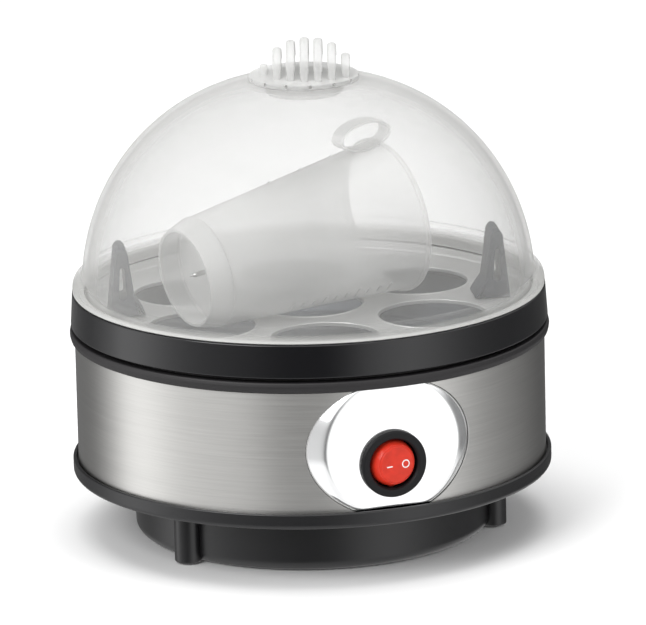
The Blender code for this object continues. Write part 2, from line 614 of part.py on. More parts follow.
def wires(black, brown, green):
    """The inner wires, each from just short of one terminal to just short of the next."""
    block_top = BOWL_LIFT + SHELL_WALL + GAP + BLOCK_SIZE[2] + GAP
    switch_rear = -(SWITCH_BACK - GAP - TERMINAL_SIZE[2]) + GAP
    seat = PLATE_UNDERSIDE - GAP
    thermostat_low = seat - THERMOSTAT_HEIGHT - GAP
    leg_low = ELEMENT_HEIGHT - ELEMENT_LEG - GAP
    left, right = element_end(-1), element_end(1)
    fuse_height = seat - FUSE_RADIUS
    fuse_end = FUSE_LENGTH / 2 + GAP
    tab_low = seat - TAB_SIZE[2] - GAP
    tube("wire_live", [
        (-0.010, BLOCK_OFFSET, block_top), (-0.010, BLOCK_OFFSET - 0.001, block_top + 0.006),
        (-0.012, 0.010, block_top + 0.009), (-0.011, -0.020, SWITCH_HEIGHT - 0.012),
        (-TERMINAL_PITCH, switch_rear + 0.012, SWITCH_HEIGHT - 0.001),
        (-TERMINAL_PITCH, switch_rear, SWITCH_HEIGHT)], WIRE_RADIUS, black)
    tube("wire_switched", [
        (0, switch_rear, SWITCH_HEIGHT), (0, switch_rear + 0.010, SWITCH_HEIGHT - 0.001),
        (0, -THERMOSTAT_OFFSET - 0.010, thermostat_low - 0.008),
        (0, -THERMOSTAT_OFFSET - 0.001, thermostat_low - 0.006),
        (0, -THERMOSTAT_OFFSET, thermostat_low)], WIRE_RADIUS, black)
    tube("wire_neutral", [
        (0.010, BLOCK_OFFSET, block_top), (0.010, BLOCK_OFFSET + 0.001, block_top + 0.008),
        (right[0] - 0.001, right[1] - 0.002, leg_low - 0.008), (*right, leg_low)], WIRE_RADIUS, brown)
    tube("wire_element", [
        (*left, leg_low), (left[0], left[1] - 0.002, leg_low - 0.005),
        (left[0], FUSE_OFFSET + 0.009, leg_low - 0.001),
        (-fuse_end - 0.007, FUSE_OFFSET + 0.001, fuse_height - 0.006),
        (-fuse_end - 0.003, FUSE_OFFSET, fuse_height - 0.0005), (-fuse_end, FUSE_OFFSET, fuse_height)],
        WIRE_RADIUS, brown)
    tube("wire_earth", [
        (0, BLOCK_OFFSET, block_top), (0.001, BLOCK_OFFSET - 0.002, block_top + 0.007),
        (0.014, 0.006, block_top + 0.020), (TAB_PLACE[0] - 0.001, TAB_PLACE[1] + 0.004, tab_low - 0.012),
        (*TAB_PLACE, tab_low - 0.004), (*TAB_PLACE, tab_low)], WIRE_RADIUS, green)


def escutcheon(chrome, switch_side):
    """The chromed switch plate: a flat round face and a sloping flank, cut off level at top and bottom."""
    back = ESCUTCHEON_FACE - ESCUTCHEON_DEPTH
    plate = switch_cone("switch_escutcheon", 0, ESCUTCHEON_FACE, back, switch_side)
    plate.data.materials.append(chrome)
    cut(plate, switch_cone("escutcheon_hollow", -ESCUTCHEON_FLANK_WALL, ESCUTCHEON_FACE - ESCUTCHEON_WALL,
                           back - OVERCUT, switch_side))
    middle = (FLANGE_TOP + BAND_TOP) / 2
    half_height = BAND_TOP - middle
    reach = ESCUTCHEON_RADIUS + ESCUTCHEON_DEPTH + OVERCUT
    slab = block("escutcheon_slab", (-reach, GAP - half_height, back - OVERCUT),
                 (reach, half_height, ESCUTCHEON_FACE + OVERCUT), parent=switch_side)
    combine(plate, slab, "INTERSECT")
    cut(plate, rod("escutcheon_hole", SWITCH_BODY_RADIUS + RUNNING_GAP, back - OVERCUT,
                   ESCUTCHEON_FACE + OVERCUT, SMALL_STEPS, centre=(0, -SWITCH_DROP), parent=switch_side))


def rocker_switch(black, red, glass, copper, switch_centre):
    """The round rocker switch: housing with bezel, lit rocker on its pivot, lamp and blade terminals."""
    inside = SWITCH_BODY_RADIUS - SWITCH_WALL
    housing = turned("switch_housing", [
        (0, SWITCH_BACK), (SWITCH_BODY_RADIUS, SWITCH_BACK), (SWITCH_BODY_RADIUS, SWITCH_SEAT),
        (BEZEL_RADIUS, SWITCH_SEAT), (BEZEL_RADIUS, BEZEL_FACE - BEZEL_CHAMFER),
        (BEZEL_RADIUS - BEZEL_CHAMFER, BEZEL_FACE), (inside, BEZEL_FACE),
        (inside, SWITCH_BACK + SWITCH_WALL), (0, SWITCH_BACK + SWITCH_WALL),
    ], MEDIUM_STEPS, black, switch_centre)
    bearing = rod("trunnion_bore", TRUNNION_RADIUS + GAP, -SWITCH_BODY_RADIUS - OVERCUT,
                  SWITCH_BODY_RADIUS + OVERCUT, SCREW_STEPS, parent=switch_centre)
    bearing.rotation_euler = (math.pi / 2, 0, 0)
    bearing.location = (0, 0, PIVOT)
    cut(housing, bearing)
    face_angle = math.degrees(math.asin(ROCKER_FACE_RISE / ROCKER_RADIUS))
    back_angle = math.degrees(math.asin(ROCKER_BACK / ROCKER_RADIUS))
    side = arc((0, 0), ROCKER_RADIUS, -back_angle, face_angle, 7)
    rocker = turned("switch_rocker", [(0, -ROCKER_BACK), *side, (0, ROCKER_FACE_RISE)], MEDIUM_STEPS,
                    red, switch_centre)
    rocker.location = (0, 0, PIVOT)
    rocker.rotation_euler = (0, math.radians(ROCKER_TILT), 0)
    trunnion = rod("trunnion", TRUNNION_RADIUS, -TRUNNION_REACH, TRUNNION_REACH, SCREW_STEPS, parent=rocker)
    trunnion.rotation_euler = (math.pi / 2, 0, 0)
    join(rocker, trunnion)
    lamp = rod("indicator_lamp", LAMP_RADIUS, -LAMP_LENGTH / 2, LAMP_LENGTH / 2, SCREW_STEPS, glass,
               parent=switch_centre)
    lamp.rotation_euler = (0, math.pi / 2, 0)
    lamp.location = (0, 0, PIVOT - LAMP_DEPTH)
    half = (TERMINAL_SIZE[0] / 2, TERMINAL_SIZE[1] / 2)
    rear = SWITCH_BACK - GAP
    for number, place in enumerate((-TERMINAL_PITCH, 0.0, TERMINAL_PITCH), 1):
        block(f"switch_terminal_{number}", (place - half[0], -half[1], rear - TERMINAL_SIZE[2]),
              (place + half[0], half[1], rear), copper, switch_centre)


def handle_outline():
    """(x, z) outline of a tray handle across its length, -x towards the tray's middle."""
    flare = arc((-HANDLE_FOOT_HALF - HANDLE_FLARE, HANDLE_FLARE + GAP), HANDLE_FLARE, -90, 0, 4)
    top = HANDLE_HEIGHT - HANDLE_TOP_HALF / 2
    return [*flare, (-HANDLE_TOP_HALF, top), (-HANDLE_TOP_HALF / 2, HANDLE_HEIGHT),
            (HANDLE_TOP_HALF / 2, HANDLE_HEIGHT), (HANDLE_TOP_HALF, top), (HANDLE_FOOT_HALF, 0),
            (-HANDLE_FOOT_HALF - HANDLE_FLARE, 0)]


def egg_tray(steel, black):
    """The pressed tray with seven egg holes, and its two handles on snap pegs."""
    tray = turned("egg_tray", [
        (0, TRAY_BOTTOM), (TRAY_RADIUS, TRAY_BOTTOM), (TRAY_RADIUS, TRAY_RIM_TOP),
        (TRAY_RADIUS - TRAY_RIM_WALL, TRAY_RIM_TOP), (TRAY_RADIUS - TRAY_RIM_WALL, TRAY_TOP), (0, TRAY_TOP),
    ], LARGE_STEPS, steel)
    places = [(0.0, 0.0)]
    places += [on_ring(HOLE_RING, HOLE_START + 360 / HOLE_COUNT * i) for i in range(HOLE_COUNT)]
    for number, place in enumerate(places, 1):
        cut(tray, rod(f"egg_hole_{number}", HOLE_RADIUS, TRAY_BOTTOM - OVERCUT, TRAY_TOP + OVERCUT,
                      MEDIUM_STEPS, centre=place))
    for name, angle in HANDLE_ANGLES.items():
        place = on_ring(HANDLE_RING, angle)
        cut(tray, rod(f"{name}_peg_hole", PEG_RADIUS + GAP, TRAY_BOTTOM - OVERCUT, TRAY_TOP + OVERCUT,
                      SCREW_STEPS, centre=place))
        handle = prism(name, handle_outline(), HANDLE_LENGTH / 2, black)
        handle.location = (*place, TRAY_TOP + GAP)
        handle.rotation_euler = (0, 0, math.radians(angle))
        slot = prism(f"{name}_slot", [
            (-HANDLE_SLOT_HALF, HANDLE_SLOT_LOW), (HANDLE_SLOT_HALF, HANDLE_SLOT_LOW),
            (HANDLE_SLOT_HALF / 2, HANDLE_SLOT_HIGH), (-HANDLE_SLOT_HALF / 2, HANDLE_SLOT_HIGH),
        ], HANDLE_LENGTH, parent=handle)
        cut(handle, slot)
        under = -GAP - TRAY_THICKNESS - GAP
        head = under - PEG_HEAD_THICKNESS
        join(handle, turned(f"{name}_peg", [
            (0, head), (PEG_RADIUS, head), (PEG_HEAD, under), (PEG_RADIUS, under), (PEG_RADIUS, GAP),
            (0, GAP)], SCREW_STEPS, None, handle))


def dome_arc(radius, base, height, seat_radius, count):
    """Outline of the dome from its base up to seat_radius: r = R (1 - (z/H)^2)^(1/p), even in angle."""
    seat_share = (seat_radius / radius) ** DOME_POWER
    top_angle = math.asin(math.sqrt(1 - seat_share))
    angles = [top_angle * i / (count - 1) for i in range(count)]
    return [(radius * (math.cos(a) ** 2) ** (1 / DOME_POWER), base + height * math.sin(a)) for a in angles]


def lid_dome(plastic):
    """The domed lid: flange on the ring, spigot inside it, and a flat seat round the vent at the top."""
    flange = BAND_RADIUS + RING_TOP_OVERHANG - RING_EDGE / 2
    flange_top = LID_BOTTOM + LID_FLANGE_THICKNESS
    dome_base = LID_BOTTOM - GAP
    outside = dome_arc(DOME_RADIUS, dome_base, DOME_HEIGHT, VENT_SEAT_RADIUS, DOME_POINTS)
    shoulder = [p for p in outside if p[1] > LID_BOTTOM + LID_SHOULDER_HEIGHT]
    inside = dome_arc(DOME_RADIUS - LID_WALL, dome_base, DOME_HEIGHT - LID_WALL, VENT_SEAT_RADIUS, DOME_POINTS)
    inside = [p for p in inside if p[1] > flange_top]
    seat = outside[-1][1]
    ceiling = inside[-1][1]
    start = shoulder[0]
    blend = arc((start[0], flange_top), flange - start[0], 0, 90, 4)
    squash = (start[1] - LID_SHOULDER_HEIGHT / 6 - flange_top) / (flange - start[0])
    blend = [(r, flange_top + (z - flange_top) * squash) for r, z in blend[:-1]]
    turned("lid_dome", [
        (SPIGOT_RADIUS - SPIGOT_WALL, LID_BOTTOM - SPIGOT_DEPTH), (SPIGOT_RADIUS, LID_BOTTOM - SPIGOT_DEPTH),
        (SPIGOT_RADIUS, LID_BOTTOM), (flange, LID_BOTTOM), *blend, *shoulder,
        (VENT_RADIUS, seat), (VENT_RADIUS, ceiling), *reversed(inside),
        (SPIGOT_RADIUS - SPIGOT_WALL, LID_BOTTOM),
    ], LARGE_STEPS, plastic)
    return seat, ceiling


def vent_knob(plastic, seat, ceiling):
    """The finned vent knob, which snaps into the lid's vent: hollow base, eight fins, ring of steam holes."""
    low = seat + GAP
    base_top = low + KNOB_BASE_HEIGHT
    crown = [(KNOB_CROWN_RADIUS * math.cos(a), low + KNOB_HEIGHT * math.sin(a))
             for a in (math.radians(d) for d in (18, 32, 46, 60, 75))]
    hollow = VENT_RADIUS + GAP
    roof = low + KNOB_BASE_HEIGHT - KNOB_WALL
    barb = ceiling - GAP
    collar_inside = KNOB_COLLAR_RADIUS - KNOB_COLLAR_WALL
    knob = turned("vent_knob", [
        (KNOB_RADIUS, low), *crown, (0, low + KNOB_HEIGHT), (0, roof), (collar_inside, roof),
        (collar_inside, ceiling - KNOB_COLLAR_DEPTH), (KNOB_COLLAR_RADIUS, ceiling - KNOB_COLLAR_DEPTH),
        (KNOB_COLLAR_RADIUS + KNOB_SNAP, barb), (KNOB_COLLAR_RADIUS, barb), (KNOB_COLLAR_RADIUS, low),
        (hollow, low),
    ], MEDIUM_STEPS, plastic)
    reach = KNOB_RADIUS + OVERCUT
    for number in range(FIN_COUNT - 1):
        place = (number - (FIN_COUNT - 2) / 2) * FIN_PITCH
        groove = block(f"fin_gap_{number + 1}", (place - FIN_GAP / 2, -reach, base_top),
                       (place + FIN_GAP / 2, reach, low + KNOB_HEIGHT + OVERCUT))
        groove.rotation_euler = (0, 0, math.radians(FIN_ANGLE))
        cut(knob, groove)
    for number in range(STEAM_HOLES):
        drill = rod(f"steam_hole_{number + 1}", STEAM_HOLE_RADIUS, collar_inside - KNOB_COLLAR_WALL,
                    reach, 6)
        drill.rotation_euler = (0, math.pi / 2, 2 * math.pi * (number + 0.5) / STEAM_HOLES)
        drill.location = (0, 0, low + KNOB_BASE_HEIGHT / 4)
        cut(knob, drill)


def cup_frame():
    """An empty at the cup's small end, its Z along the cup's axis and its X up. The cup lies on the tray."""
    lean = math.atan((CUP_MOUTH_RADIUS + CUP_BEAD - CUP_BASE_RADIUS) / (CUP_LENGTH - CUP_BEAD_WIDTH))
    turn = Matrix.Rotation(math.radians(CUP_HEADING), 4, "Z") @ Matrix.Rotation(math.pi / 2 - lean, 4, "Y")
    up = Matrix.Rotation(math.pi, 4, "Z")
    height = TRAY_TOP + GAP + CUP_BASE_RADIUS * math.cos(lean)
    frame = bpy.data.objects.new("cup_frame", None)
    frame.matrix_world = Matrix.Translation((*CUP_PLACE, height)) @ turn @ up
    bpy.context.scene.collection.objects.link(frame)
    return frame


def cup_radius(place):
    """Outer radius of the cup's tapered wall at a distance from its small end."""
    share = (place - CUP_STEP) / (CUP_LENGTH - CUP_BEAD_WIDTH - CUP_STEP)
    return CUP_STEP_RADIUS - GAP + (CUP_MOUTH_RADIUS - CUP_STEP_RADIUS + GAP) * share


def measuring_cup(plastic, steel, frame):
    """The cup with its hollow foot, beaded mouth and strap loop, and the egg-piercing pin in its foot."""
    bead_start = CUP_LENGTH - CUP_BEAD_WIDTH
    bead = CUP_MOUTH_RADIUS + CUP_BEAD
    floor = CUP_STEP + 2 * CUP_WALL
    cup = turned("measuring_cup", [
        (CUP_BASE_RADIUS, 0), (CUP_STEP_RADIUS, CUP_STEP), (cup_radius(CUP_STEP + GAP), CUP_STEP + GAP),
        (cup_radius(bead_start), bead_start), (bead, bead_start + GAP), (bead, CUP_LENGTH),
        (CUP_MOUTH_RADIUS - CUP_WALL, CUP_LENGTH), (cup_radius(floor) - CUP_WALL, floor), (0, floor),
        (0, floor - CUP_WALL), (CUP_STEP_RADIUS - CUP_WALL, floor - CUP_WALL),
        (CUP_BASE_RADIUS - CUP_WALL, 0),
    ], MEDIUM_STEPS, plastic, frame)
    middle = cup_radius(LOOP_PLACE) + LOOP_RISE / 2
    turns = [2 * math.pi * i / SMALL_STEPS for i in range(SMALL_STEPS)]
    reach = LOOP_RISE / 2 + CUP_WALL / 2
    outer, inner = [
        [(middle + (reach - wall) * math.cos(a), (LOOP_HALF_SPAN - wall) * math.sin(a)) for a in turns]
        for wall in (0, LOOP_WALL)]
    low, high = LOOP_PLACE - LOOP_WIDTH / 2, LOOP_PLACE + LOOP_WIDTH / 2
    points = [(x, y, z) for ring in (outer, inner) for z in (low, high) for x, y in ring]
    faces = []
    for i in range(SMALL_STEPS):
        j = (i + 1) % SMALL_STEPS
        for a, b in ((0, 1), (1, 3), (3, 2), (2, 0)):
            faces.append((a * SMALL_STEPS + i, a * SMALL_STEPS + j, b * SMALL_STEPS + j, b * SMALL_STEPS + i))
    loop = mesh_object("cup_loop", points, faces, None, frame)
    cut(loop, turned("cup_clear", [
        (0, low - OVERCUT), (cup_radius(low) - CUP_WALL / 2, low - OVERCUT),
        (cup_radius(high) - CUP_WALL / 2, high + OVERCUT), (0, high + OVERCUT)], MEDIUM_STEPS, None, frame))
    join(cup, loop)
    top = floor - CUP_WALL - GAP
    turned("piercing_pin", [(0, top - PIN_LENGTH), (PIN_RADIUS, top - PIN_LENGTH + PIN_TIP),
                            (PIN_RADIUS, top), (0, top)], SCREW_STEPS, steel, frame)


def main():
    """Builds the egg cooker, piece by piece."""
    clear_scene()
    black = finish("black_plastic", (0.012, 0.012, 0.013), 0.32)
    gloss_black = finish("gloss_black_plastic", (0.008, 0.008, 0.009), 0.16)
    rubber = finish("rubber", (0.02, 0.02, 0.02), 0.8)
    silicone = finish("silicone", (0.55, 0.16, 0.10), 0.6)
    brushed = finish("brushed_steel", (0.55, 0.54, 0.52), 0.32, 1.0)
    plate = finish("plate_steel", (0.30, 0.30, 0.30), 0.38, 1.0)
    zinc = finish("zinc_steel", (0.50, 0.50, 0.48), 0.35, 1.0)
    chrome = finish("chrome", (0.85, 0.86, 0.87), 0.05, 1.0)
    frosted = finish("frosted_plastic", (0.86, 0.87, 0.86), 0.45, alpha=0.35)
    clear = finish("cup_plastic", (0.84, 0.85, 0.86), 0.30, alpha=0.40)
    red = finish("red_lens", (0.75, 0.04, 0.02), 0.25)
    glass = finish("lamp_glass", (0.90, 0.60, 0.40), 0.10, alpha=0.6)
    copper = finish("brass_terminal", (0.65, 0.48, 0.22), 0.35, 1.0)
    phenolic = finish("phenolic", (0.08, 0.05, 0.03), 0.5)
    ceramic = finish("ceramic", (0.80, 0.78, 0.72), 0.5)
    brown = finish("brown_sleeve", (0.16, 0.07, 0.03), 0.5)
    green = finish("green_sleeve", (0.10, 0.32, 0.06), 0.5)

    switch_side = bpy.data.objects.new("switch_side", None)
    switch_side.location = (0, 0, (FLANGE_TOP + BAND_TOP) / 2)
    switch_side.rotation_euler = (math.pi / 2, 0, 0)
    switch_centre = bpy.data.objects.new("switch_centre", None)
    switch_centre.location = (0, 0, SWITCH_HEIGHT)
    switch_centre.rotation_euler = (math.pi / 2, 0, 0)
    for empty in (switch_side, switch_centre):
        bpy.context.scene.collection.objects.link(empty)

    base_housing(black)
    feet_and_gland(rubber)
    steel_band(brushed, switch_side)
    collar(black)
    housing_screws(zinc)
    upper_ring(gloss_black)
    heating_plate(plate, silicone)
    heating_element(zinc)
    element_clamp(zinc)
    plate_controls(phenolic, zinc, copper)
    terminal_block(ceramic)
    wires(black, brown, green)
    escutcheon(chrome, switch_side)
    rocker_switch(black, red, glass, copper, switch_centre)
    egg_tray(plate, black)
    seat, ceiling = lid_dome(frosted)
    vent_knob(frosted, seat, ceiling)
    measuring_cup(clear, zinc, cup_frame())


main()
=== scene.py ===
"""Looks of a seven-hole egg cooker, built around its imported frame.

Each sub-assembly is a class: it reads its place from the frame, works out its surfaces as numpy arrays and
dresses them in procedural finishes. Lengths are metres, +Z is up, and the switch faces -Y.
"""

import logging
import math
import operator
from dataclasses import dataclass, field
from enum import Enum
from functools import reduce
from typing import Any, ClassVar, Iterable, Sequence

import bmesh
import bpy
import numpy as np
from mathutils import Matrix, Vector


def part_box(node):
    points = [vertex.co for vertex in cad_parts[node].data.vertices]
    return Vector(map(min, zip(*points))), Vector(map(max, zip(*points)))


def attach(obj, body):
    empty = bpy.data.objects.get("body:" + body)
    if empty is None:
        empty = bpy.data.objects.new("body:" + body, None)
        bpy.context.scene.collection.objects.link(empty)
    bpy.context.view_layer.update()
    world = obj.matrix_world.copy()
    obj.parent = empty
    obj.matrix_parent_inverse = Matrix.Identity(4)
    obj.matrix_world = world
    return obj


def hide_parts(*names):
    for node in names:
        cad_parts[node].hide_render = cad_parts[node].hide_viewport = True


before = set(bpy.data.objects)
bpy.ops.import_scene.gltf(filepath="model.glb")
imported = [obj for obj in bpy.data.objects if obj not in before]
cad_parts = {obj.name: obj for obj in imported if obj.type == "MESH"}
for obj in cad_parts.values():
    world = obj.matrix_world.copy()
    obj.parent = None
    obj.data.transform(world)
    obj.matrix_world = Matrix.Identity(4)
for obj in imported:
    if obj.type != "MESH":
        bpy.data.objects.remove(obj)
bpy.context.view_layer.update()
LOG = logging.getLogger("egg_cooker")
Array = np.ndarray
Colour = tuple[float, float, float]
TAU = 2 * math.pi
MM = 0.001
GAP = 0.3 * MM
WELD = 1e-6
SHARP = 32.0


# ---------------------------------------------------------------- shader maths

def grey(value: float) -> tuple[float, float, float, float]:
    """A grey of one brightness, with a full alpha."""
    return (value, value, value, 1.0)


class Signal:
    """One socket of a node tree, on which Python operators add the matching Math nodes."""

    def __init__(self, bench: "Bench", socket: bpy.types.NodeSocket) -> None:
        """Keeps the bench that adds the nodes, and the socket that carries the value."""
        self.bench = bench
        self.socket = socket

    def _math(self, operation: str, *values: Any) -> "Signal":
        """Adds one Math node of that operation on values and returns its result."""
        return self.bench.out("ShaderNodeMath", {"operation": operation}, dict(enumerate(values)))

    def __add__(self, other: Any) -> "Signal":
        """This value plus other."""
        return self._math("ADD", self, other)

    def __radd__(self, other: Any) -> "Signal":
        """Other plus this value."""
        return self._math("ADD", other, self)

    def __sub__(self, other: Any) -> "Signal":
        """This value less other."""
        return self._math("SUBTRACT", self, other)

    def __rsub__(self, other: Any) -> "Signal":
        """Other less this value."""
        return self._math("SUBTRACT", other, self)

    def __mul__(self, other: Any) -> "Signal":
        """This value times other."""
        return self._math("MULTIPLY", self, other)

    def __rmul__(self, other: Any) -> "Signal":
        """Other times this value."""
        return self._math("MULTIPLY", other, self)

    def __truediv__(self, other: Any) -> "Signal":
        """This value over other."""
        return self._math("DIVIDE", self, other)

    def __pow__(self, other: Any) -> "Signal":
        """This value to the power of other."""
        return self._math("POWER", self, other)

    def turned_from(self, other: Any) -> "Signal":
        """The angle in radians whose tangent is this value over other."""
        return self._math("ARCTAN2", self, other)


class Bench:
    """Adds nodes to one tree."""

    def __init__(self, tree: bpy.types.NodeTree) -> None:
        """Empties the tree, so that everything in it was added here."""
        self.tree = tree
        tree.nodes.clear()

    def node(self, kind: str, settings: dict[str, Any] | None = None,
             inputs: dict[Any, Any] | None = None) -> bpy.types.Node:
        """Adds one node.

        Args:
            kind: the node's type.
            settings: properties set first; "stops" fills a colour ramp with (place, brightness) pairs.
            inputs: socket name or number to a Signal, a number or a tuple.

        Returns:
            The new node.
        """
        made = self.tree.nodes.new(kind)
        for name, value in (settings or {}).items():
            if name == "stops":
                self._fill_ramp(made.color_ramp, value)
            else:
                setattr(made, name, value)
        for name, value in (inputs or {}).items():
            if isinstance(value, Signal):
                self.tree.links.new(value.socket, made.inputs[name])
            else:
                made.inputs[name].default_value = value
        return made

    @staticmethod
    def _fill_ramp(ramp: bpy.types.ColorRamp, stops: Sequence[tuple[float, float]]) -> None:
        """Sets a ramp's stops.

        Args:
            ramp: the colour ramp.
            stops: (place from 0 to 1, brightness) pairs in order.
        """
        while len(ramp.elements) < len(stops):
            ramp.elements.new(1.0)
        for element, (place, value) in zip(ramp.elements, stops):
            element.position = place
            element.color = grey(value)

    def out(self, kind: str, settings: dict[str, Any] | None = None,
            inputs: dict[Any, Any] | None = None, output: Any = 0) -> Signal:
        """Adds one node and returns one of its outputs as a Signal."""
        return Signal(self, self.node(kind, settings, inputs).outputs[output])

    def place(self) -> Signal:
        """The piece's own coordinates, which are the object's frame in metres."""
        return self.out("ShaderNodeTexCoord", output="Object")

    def stretched(self, scale: tuple[float, float, float]) -> Signal:
        """The piece's coordinates, each multiplied by its part of scale."""
        return self.out("ShaderNodeMapping", None, {"Vector": self.place(), "Scale": scale})

    def parts(self, vector: Signal) -> tuple[Signal, Signal, Signal]:
        """The x, y and z of a vector."""
        split = self.node("ShaderNodeSeparateXYZ", None, {0: vector})
        return tuple(Signal(self, split.outputs[axis]) for axis in range(3))

    def around(self, per_turn: float, per_metre: float, radial: float = 0.0) -> Signal:
        """Coordinates that follow a turned surface: angle, height and distance from the Z axis.

        Args:
            per_turn: how far the first coordinate moves in one turn, as a circle so that it has no seam.
            per_metre: how far the third coordinate moves in one metre of height.
            radial: how far it moves in one metre away from the axis.

        Returns:
            A vector Signal for a noise texture.
        """
        x, y, z = self.parts(self.place())
        away = (x * x + y * y) ** 0.5
        circle = per_turn / TAU
        return self.out("ShaderNodeCombineXYZ", None, {
            0: x / away * circle, 1: y / away * circle, 2: z * per_metre + away * radial})

    def noise(self, vector: Signal, scale: float = 1.0, detail: float = 2.0, rough: float = 0.5) -> Signal:
        """Soft random values about 0.5, over vector."""
        return self.out("ShaderNodeTexNoise", None, {
            "Vector": vector, "Scale": scale, "Detail": detail, "Roughness": rough})

    def blend(self, factor: Any, first: Any, second: Any) -> Signal:
        """A colour between first and second, by factor."""
        made = self.node("ShaderNodeMix", {"data_type": "RGBA"}, {0: factor, 6: first, 7: second})
        return Signal(self, made.outputs[2])

    def step(self, value: Signal, low: float, high: float) -> Signal:
        """A smooth step: 0 where value is under low, 1 where it is over high."""
        return self.out("ShaderNodeMapRange", {"interpolation_type": "SMOOTHSTEP"}, {
            "Value": value, "From Min": low, "From Max": high}, "Result")

    def bump(self, height: Signal, depth: float) -> Signal:
        """A Normal that follows height, which is depth metres from 0 to 1."""
        return self.out("ShaderNodeBump", None, {"Height": height, "Distance": depth, "Strength": 1.0})

    def surface(self, inputs: dict[str, Any]) -> None:
        """Ends the tree in one Principled surface with these inputs."""
        shader = self.out("ShaderNodeBsdfPrincipled", None, inputs)
        self.node("ShaderNodeOutputMaterial", None, {"Surface": shader})


# ---------------------------------------------------------------- finishes

def shade(colour: Colour, factor: float) -> tuple[float, float, float, float]:
    """The colour made lighter or darker by factor, with a full alpha."""
    return (*(min(1.0, part * factor) for part in colour), 1.0)


@dataclass(frozen=True)
class Finish:
    """A named surface finish. Its material is made once and shared."""

    name: str
    made: ClassVar[dict[str, bpy.types.Material]] = {}

    def material(self) -> bpy.types.Material:
        """The finish's material, made on first use.

        Returns:
            The shared material.
        """
        if self.name not in Finish.made:
            material = bpy.data.materials.new(self.name)
            material.use_nodes = True
            self.paint(Bench(material.node_tree))
            Finish.made[self.name] = material
        return Finish.made[self.name]

    def paint(self, bench: Bench) -> None:
        """Fills the material's node tree."""
        raise NotImplementedError


@dataclass(frozen=True)
class MouldedPlastic(Finish):
    """Solid plastic with a fine spark-eroded grain, faint flow marks and a soft sheen."""

    colour: Colour = (0.012, 0.012, 0.013)
    roughness: float = 0.34
    grain: float = 5200.0
    grain_depth: float = 0.00002
    flow: float = 0.10
    gloss: float = 0.5

    def paint(self, bench: Bench) -> None:
        """Grain in the bump, flow marks in the colour and the roughness.

        Args:
            bench: the material's node tree.
        """
        grain = bench.noise(bench.place(), self.grain, 2.0, 0.6)
        flow = bench.noise(bench.around(6.0, 26.0, 26.0), 1.0, 3.0, 0.55)
        dust = bench.noise(bench.place(), 900.0, 3.0, 0.7)
        darker, lighter = shade(self.colour, 1 - 2 * self.flow), shade(self.colour, 1 + 2 * self.flow)
        bench.surface({
            "Base Color": bench.blend(flow, darker, lighter),
            "Roughness": self.roughness + (flow - 0.5) * self.flow + (dust - 0.5) * 0.08,
            "Normal": bench.bump(grain, self.grain_depth),
            "Specular IOR Level": self.gloss, "IOR": 1.48})


@dataclass(frozen=True)
class BrushedSteel(Finish):
    """Steel brushed round the body: long streaks of grain that run level round it."""

    colour: Colour = (0.57, 0.565, 0.55)
    roughness: float = 0.34
    streaks: float = 9000.0
    streak_depth: float = 0.000006
    stretch: float = 0.72
    turn: float = 0.25

    def paint(self, bench: Bench) -> None:
        """Streaks are noise stretched along the turn; they move colour, roughness and bump.

        Args:
            bench: the material's node tree.
        """
        fine = bench.noise(bench.around(30.0, self.streaks, self.streaks), 1.0, 3.0, 0.7)
        wide = bench.noise(bench.around(9.0, self.streaks / 7, self.streaks / 7), 1.0, 3.0, 0.6)
        cloud = bench.noise(bench.around(7.0, 18.0, 18.0), 1.0, 2.0, 0.5)
        streak = fine * 0.6 + wide * 0.4
        bench.surface({
            "Base Color": bench.blend(streak, shade(self.colour, 0.72), shade(self.colour, 1.24)),
            "Metallic": 1.0,
            "Roughness": self.roughness + (streak - 0.5) * 0.16 + (cloud - 0.5) * 0.06,
            "Anisotropic": self.stretch, "Anisotropic Rotation": self.turn,
            "Normal": bench.bump(streak, self.streak_depth)})


@dataclass(frozen=True)
class PolishedMetal(Finish):
    """Bare or plated metal with faint wipe marks."""

    colour: Colour = (0.90, 0.905, 0.91)
    roughness: float = 0.035
    wear: float = 0.03
    ripple: float = 0.0000010
    metallic: float = 1.0

    def paint(self, bench: Bench) -> None:
        """Wipe marks are soft noise in the roughness; the plating's ripple is a very shallow bump.

        Args:
            bench: the material's node tree.
        """
        wipe = bench.noise(bench.stretched((60.0, 60.0, 150.0)), 1.0, 4.0, 0.6)
        ripple = bench.noise(bench.place(), 420.0, 1.0, 0.4)
        bench.surface({
            "Base Color": bench.blend(wipe, shade(self.colour, 0.97), shade(self.colour, 1.02)),
            "Metallic": self.metallic,
            "Roughness": self.roughness + (wipe - 0.35) * self.wear,
            "Normal": bench.bump(ripple, self.ripple)})


@dataclass(frozen=True)
class PressedMetal(Finish):
    """Satin sheet metal, with turned rings where it was spun or pressed."""

    colour: Colour = (0.30, 0.30, 0.30)
    roughness: float = 0.36
    rings: float = 2600.0
    ring_depth: float = 0.000008
    metallic: float = 1.0

    def paint(self, bench: Bench) -> None:
        """Rings are noise across the radius only; blotches of heat and lime move the colour.

        Args:
            bench: the material's node tree.
        """
        rings = bench.noise(bench.around(3.0, self.rings, self.rings), 1.0, 2.0, 0.6)
        blotch = bench.noise(bench.place(), 70.0, 4.0, 0.6)
        mixed = rings * 0.5 + blotch * 0.5
        bench.surface({
            "Base Color": bench.blend(mixed, shade(self.colour, 0.80), shade(self.colour, 1.20)),
            "Metallic": self.metallic,
            "Roughness": self.roughness + (blotch - 0.5) * 0.14,
            "Normal": bench.bump(rings, self.ring_depth)})


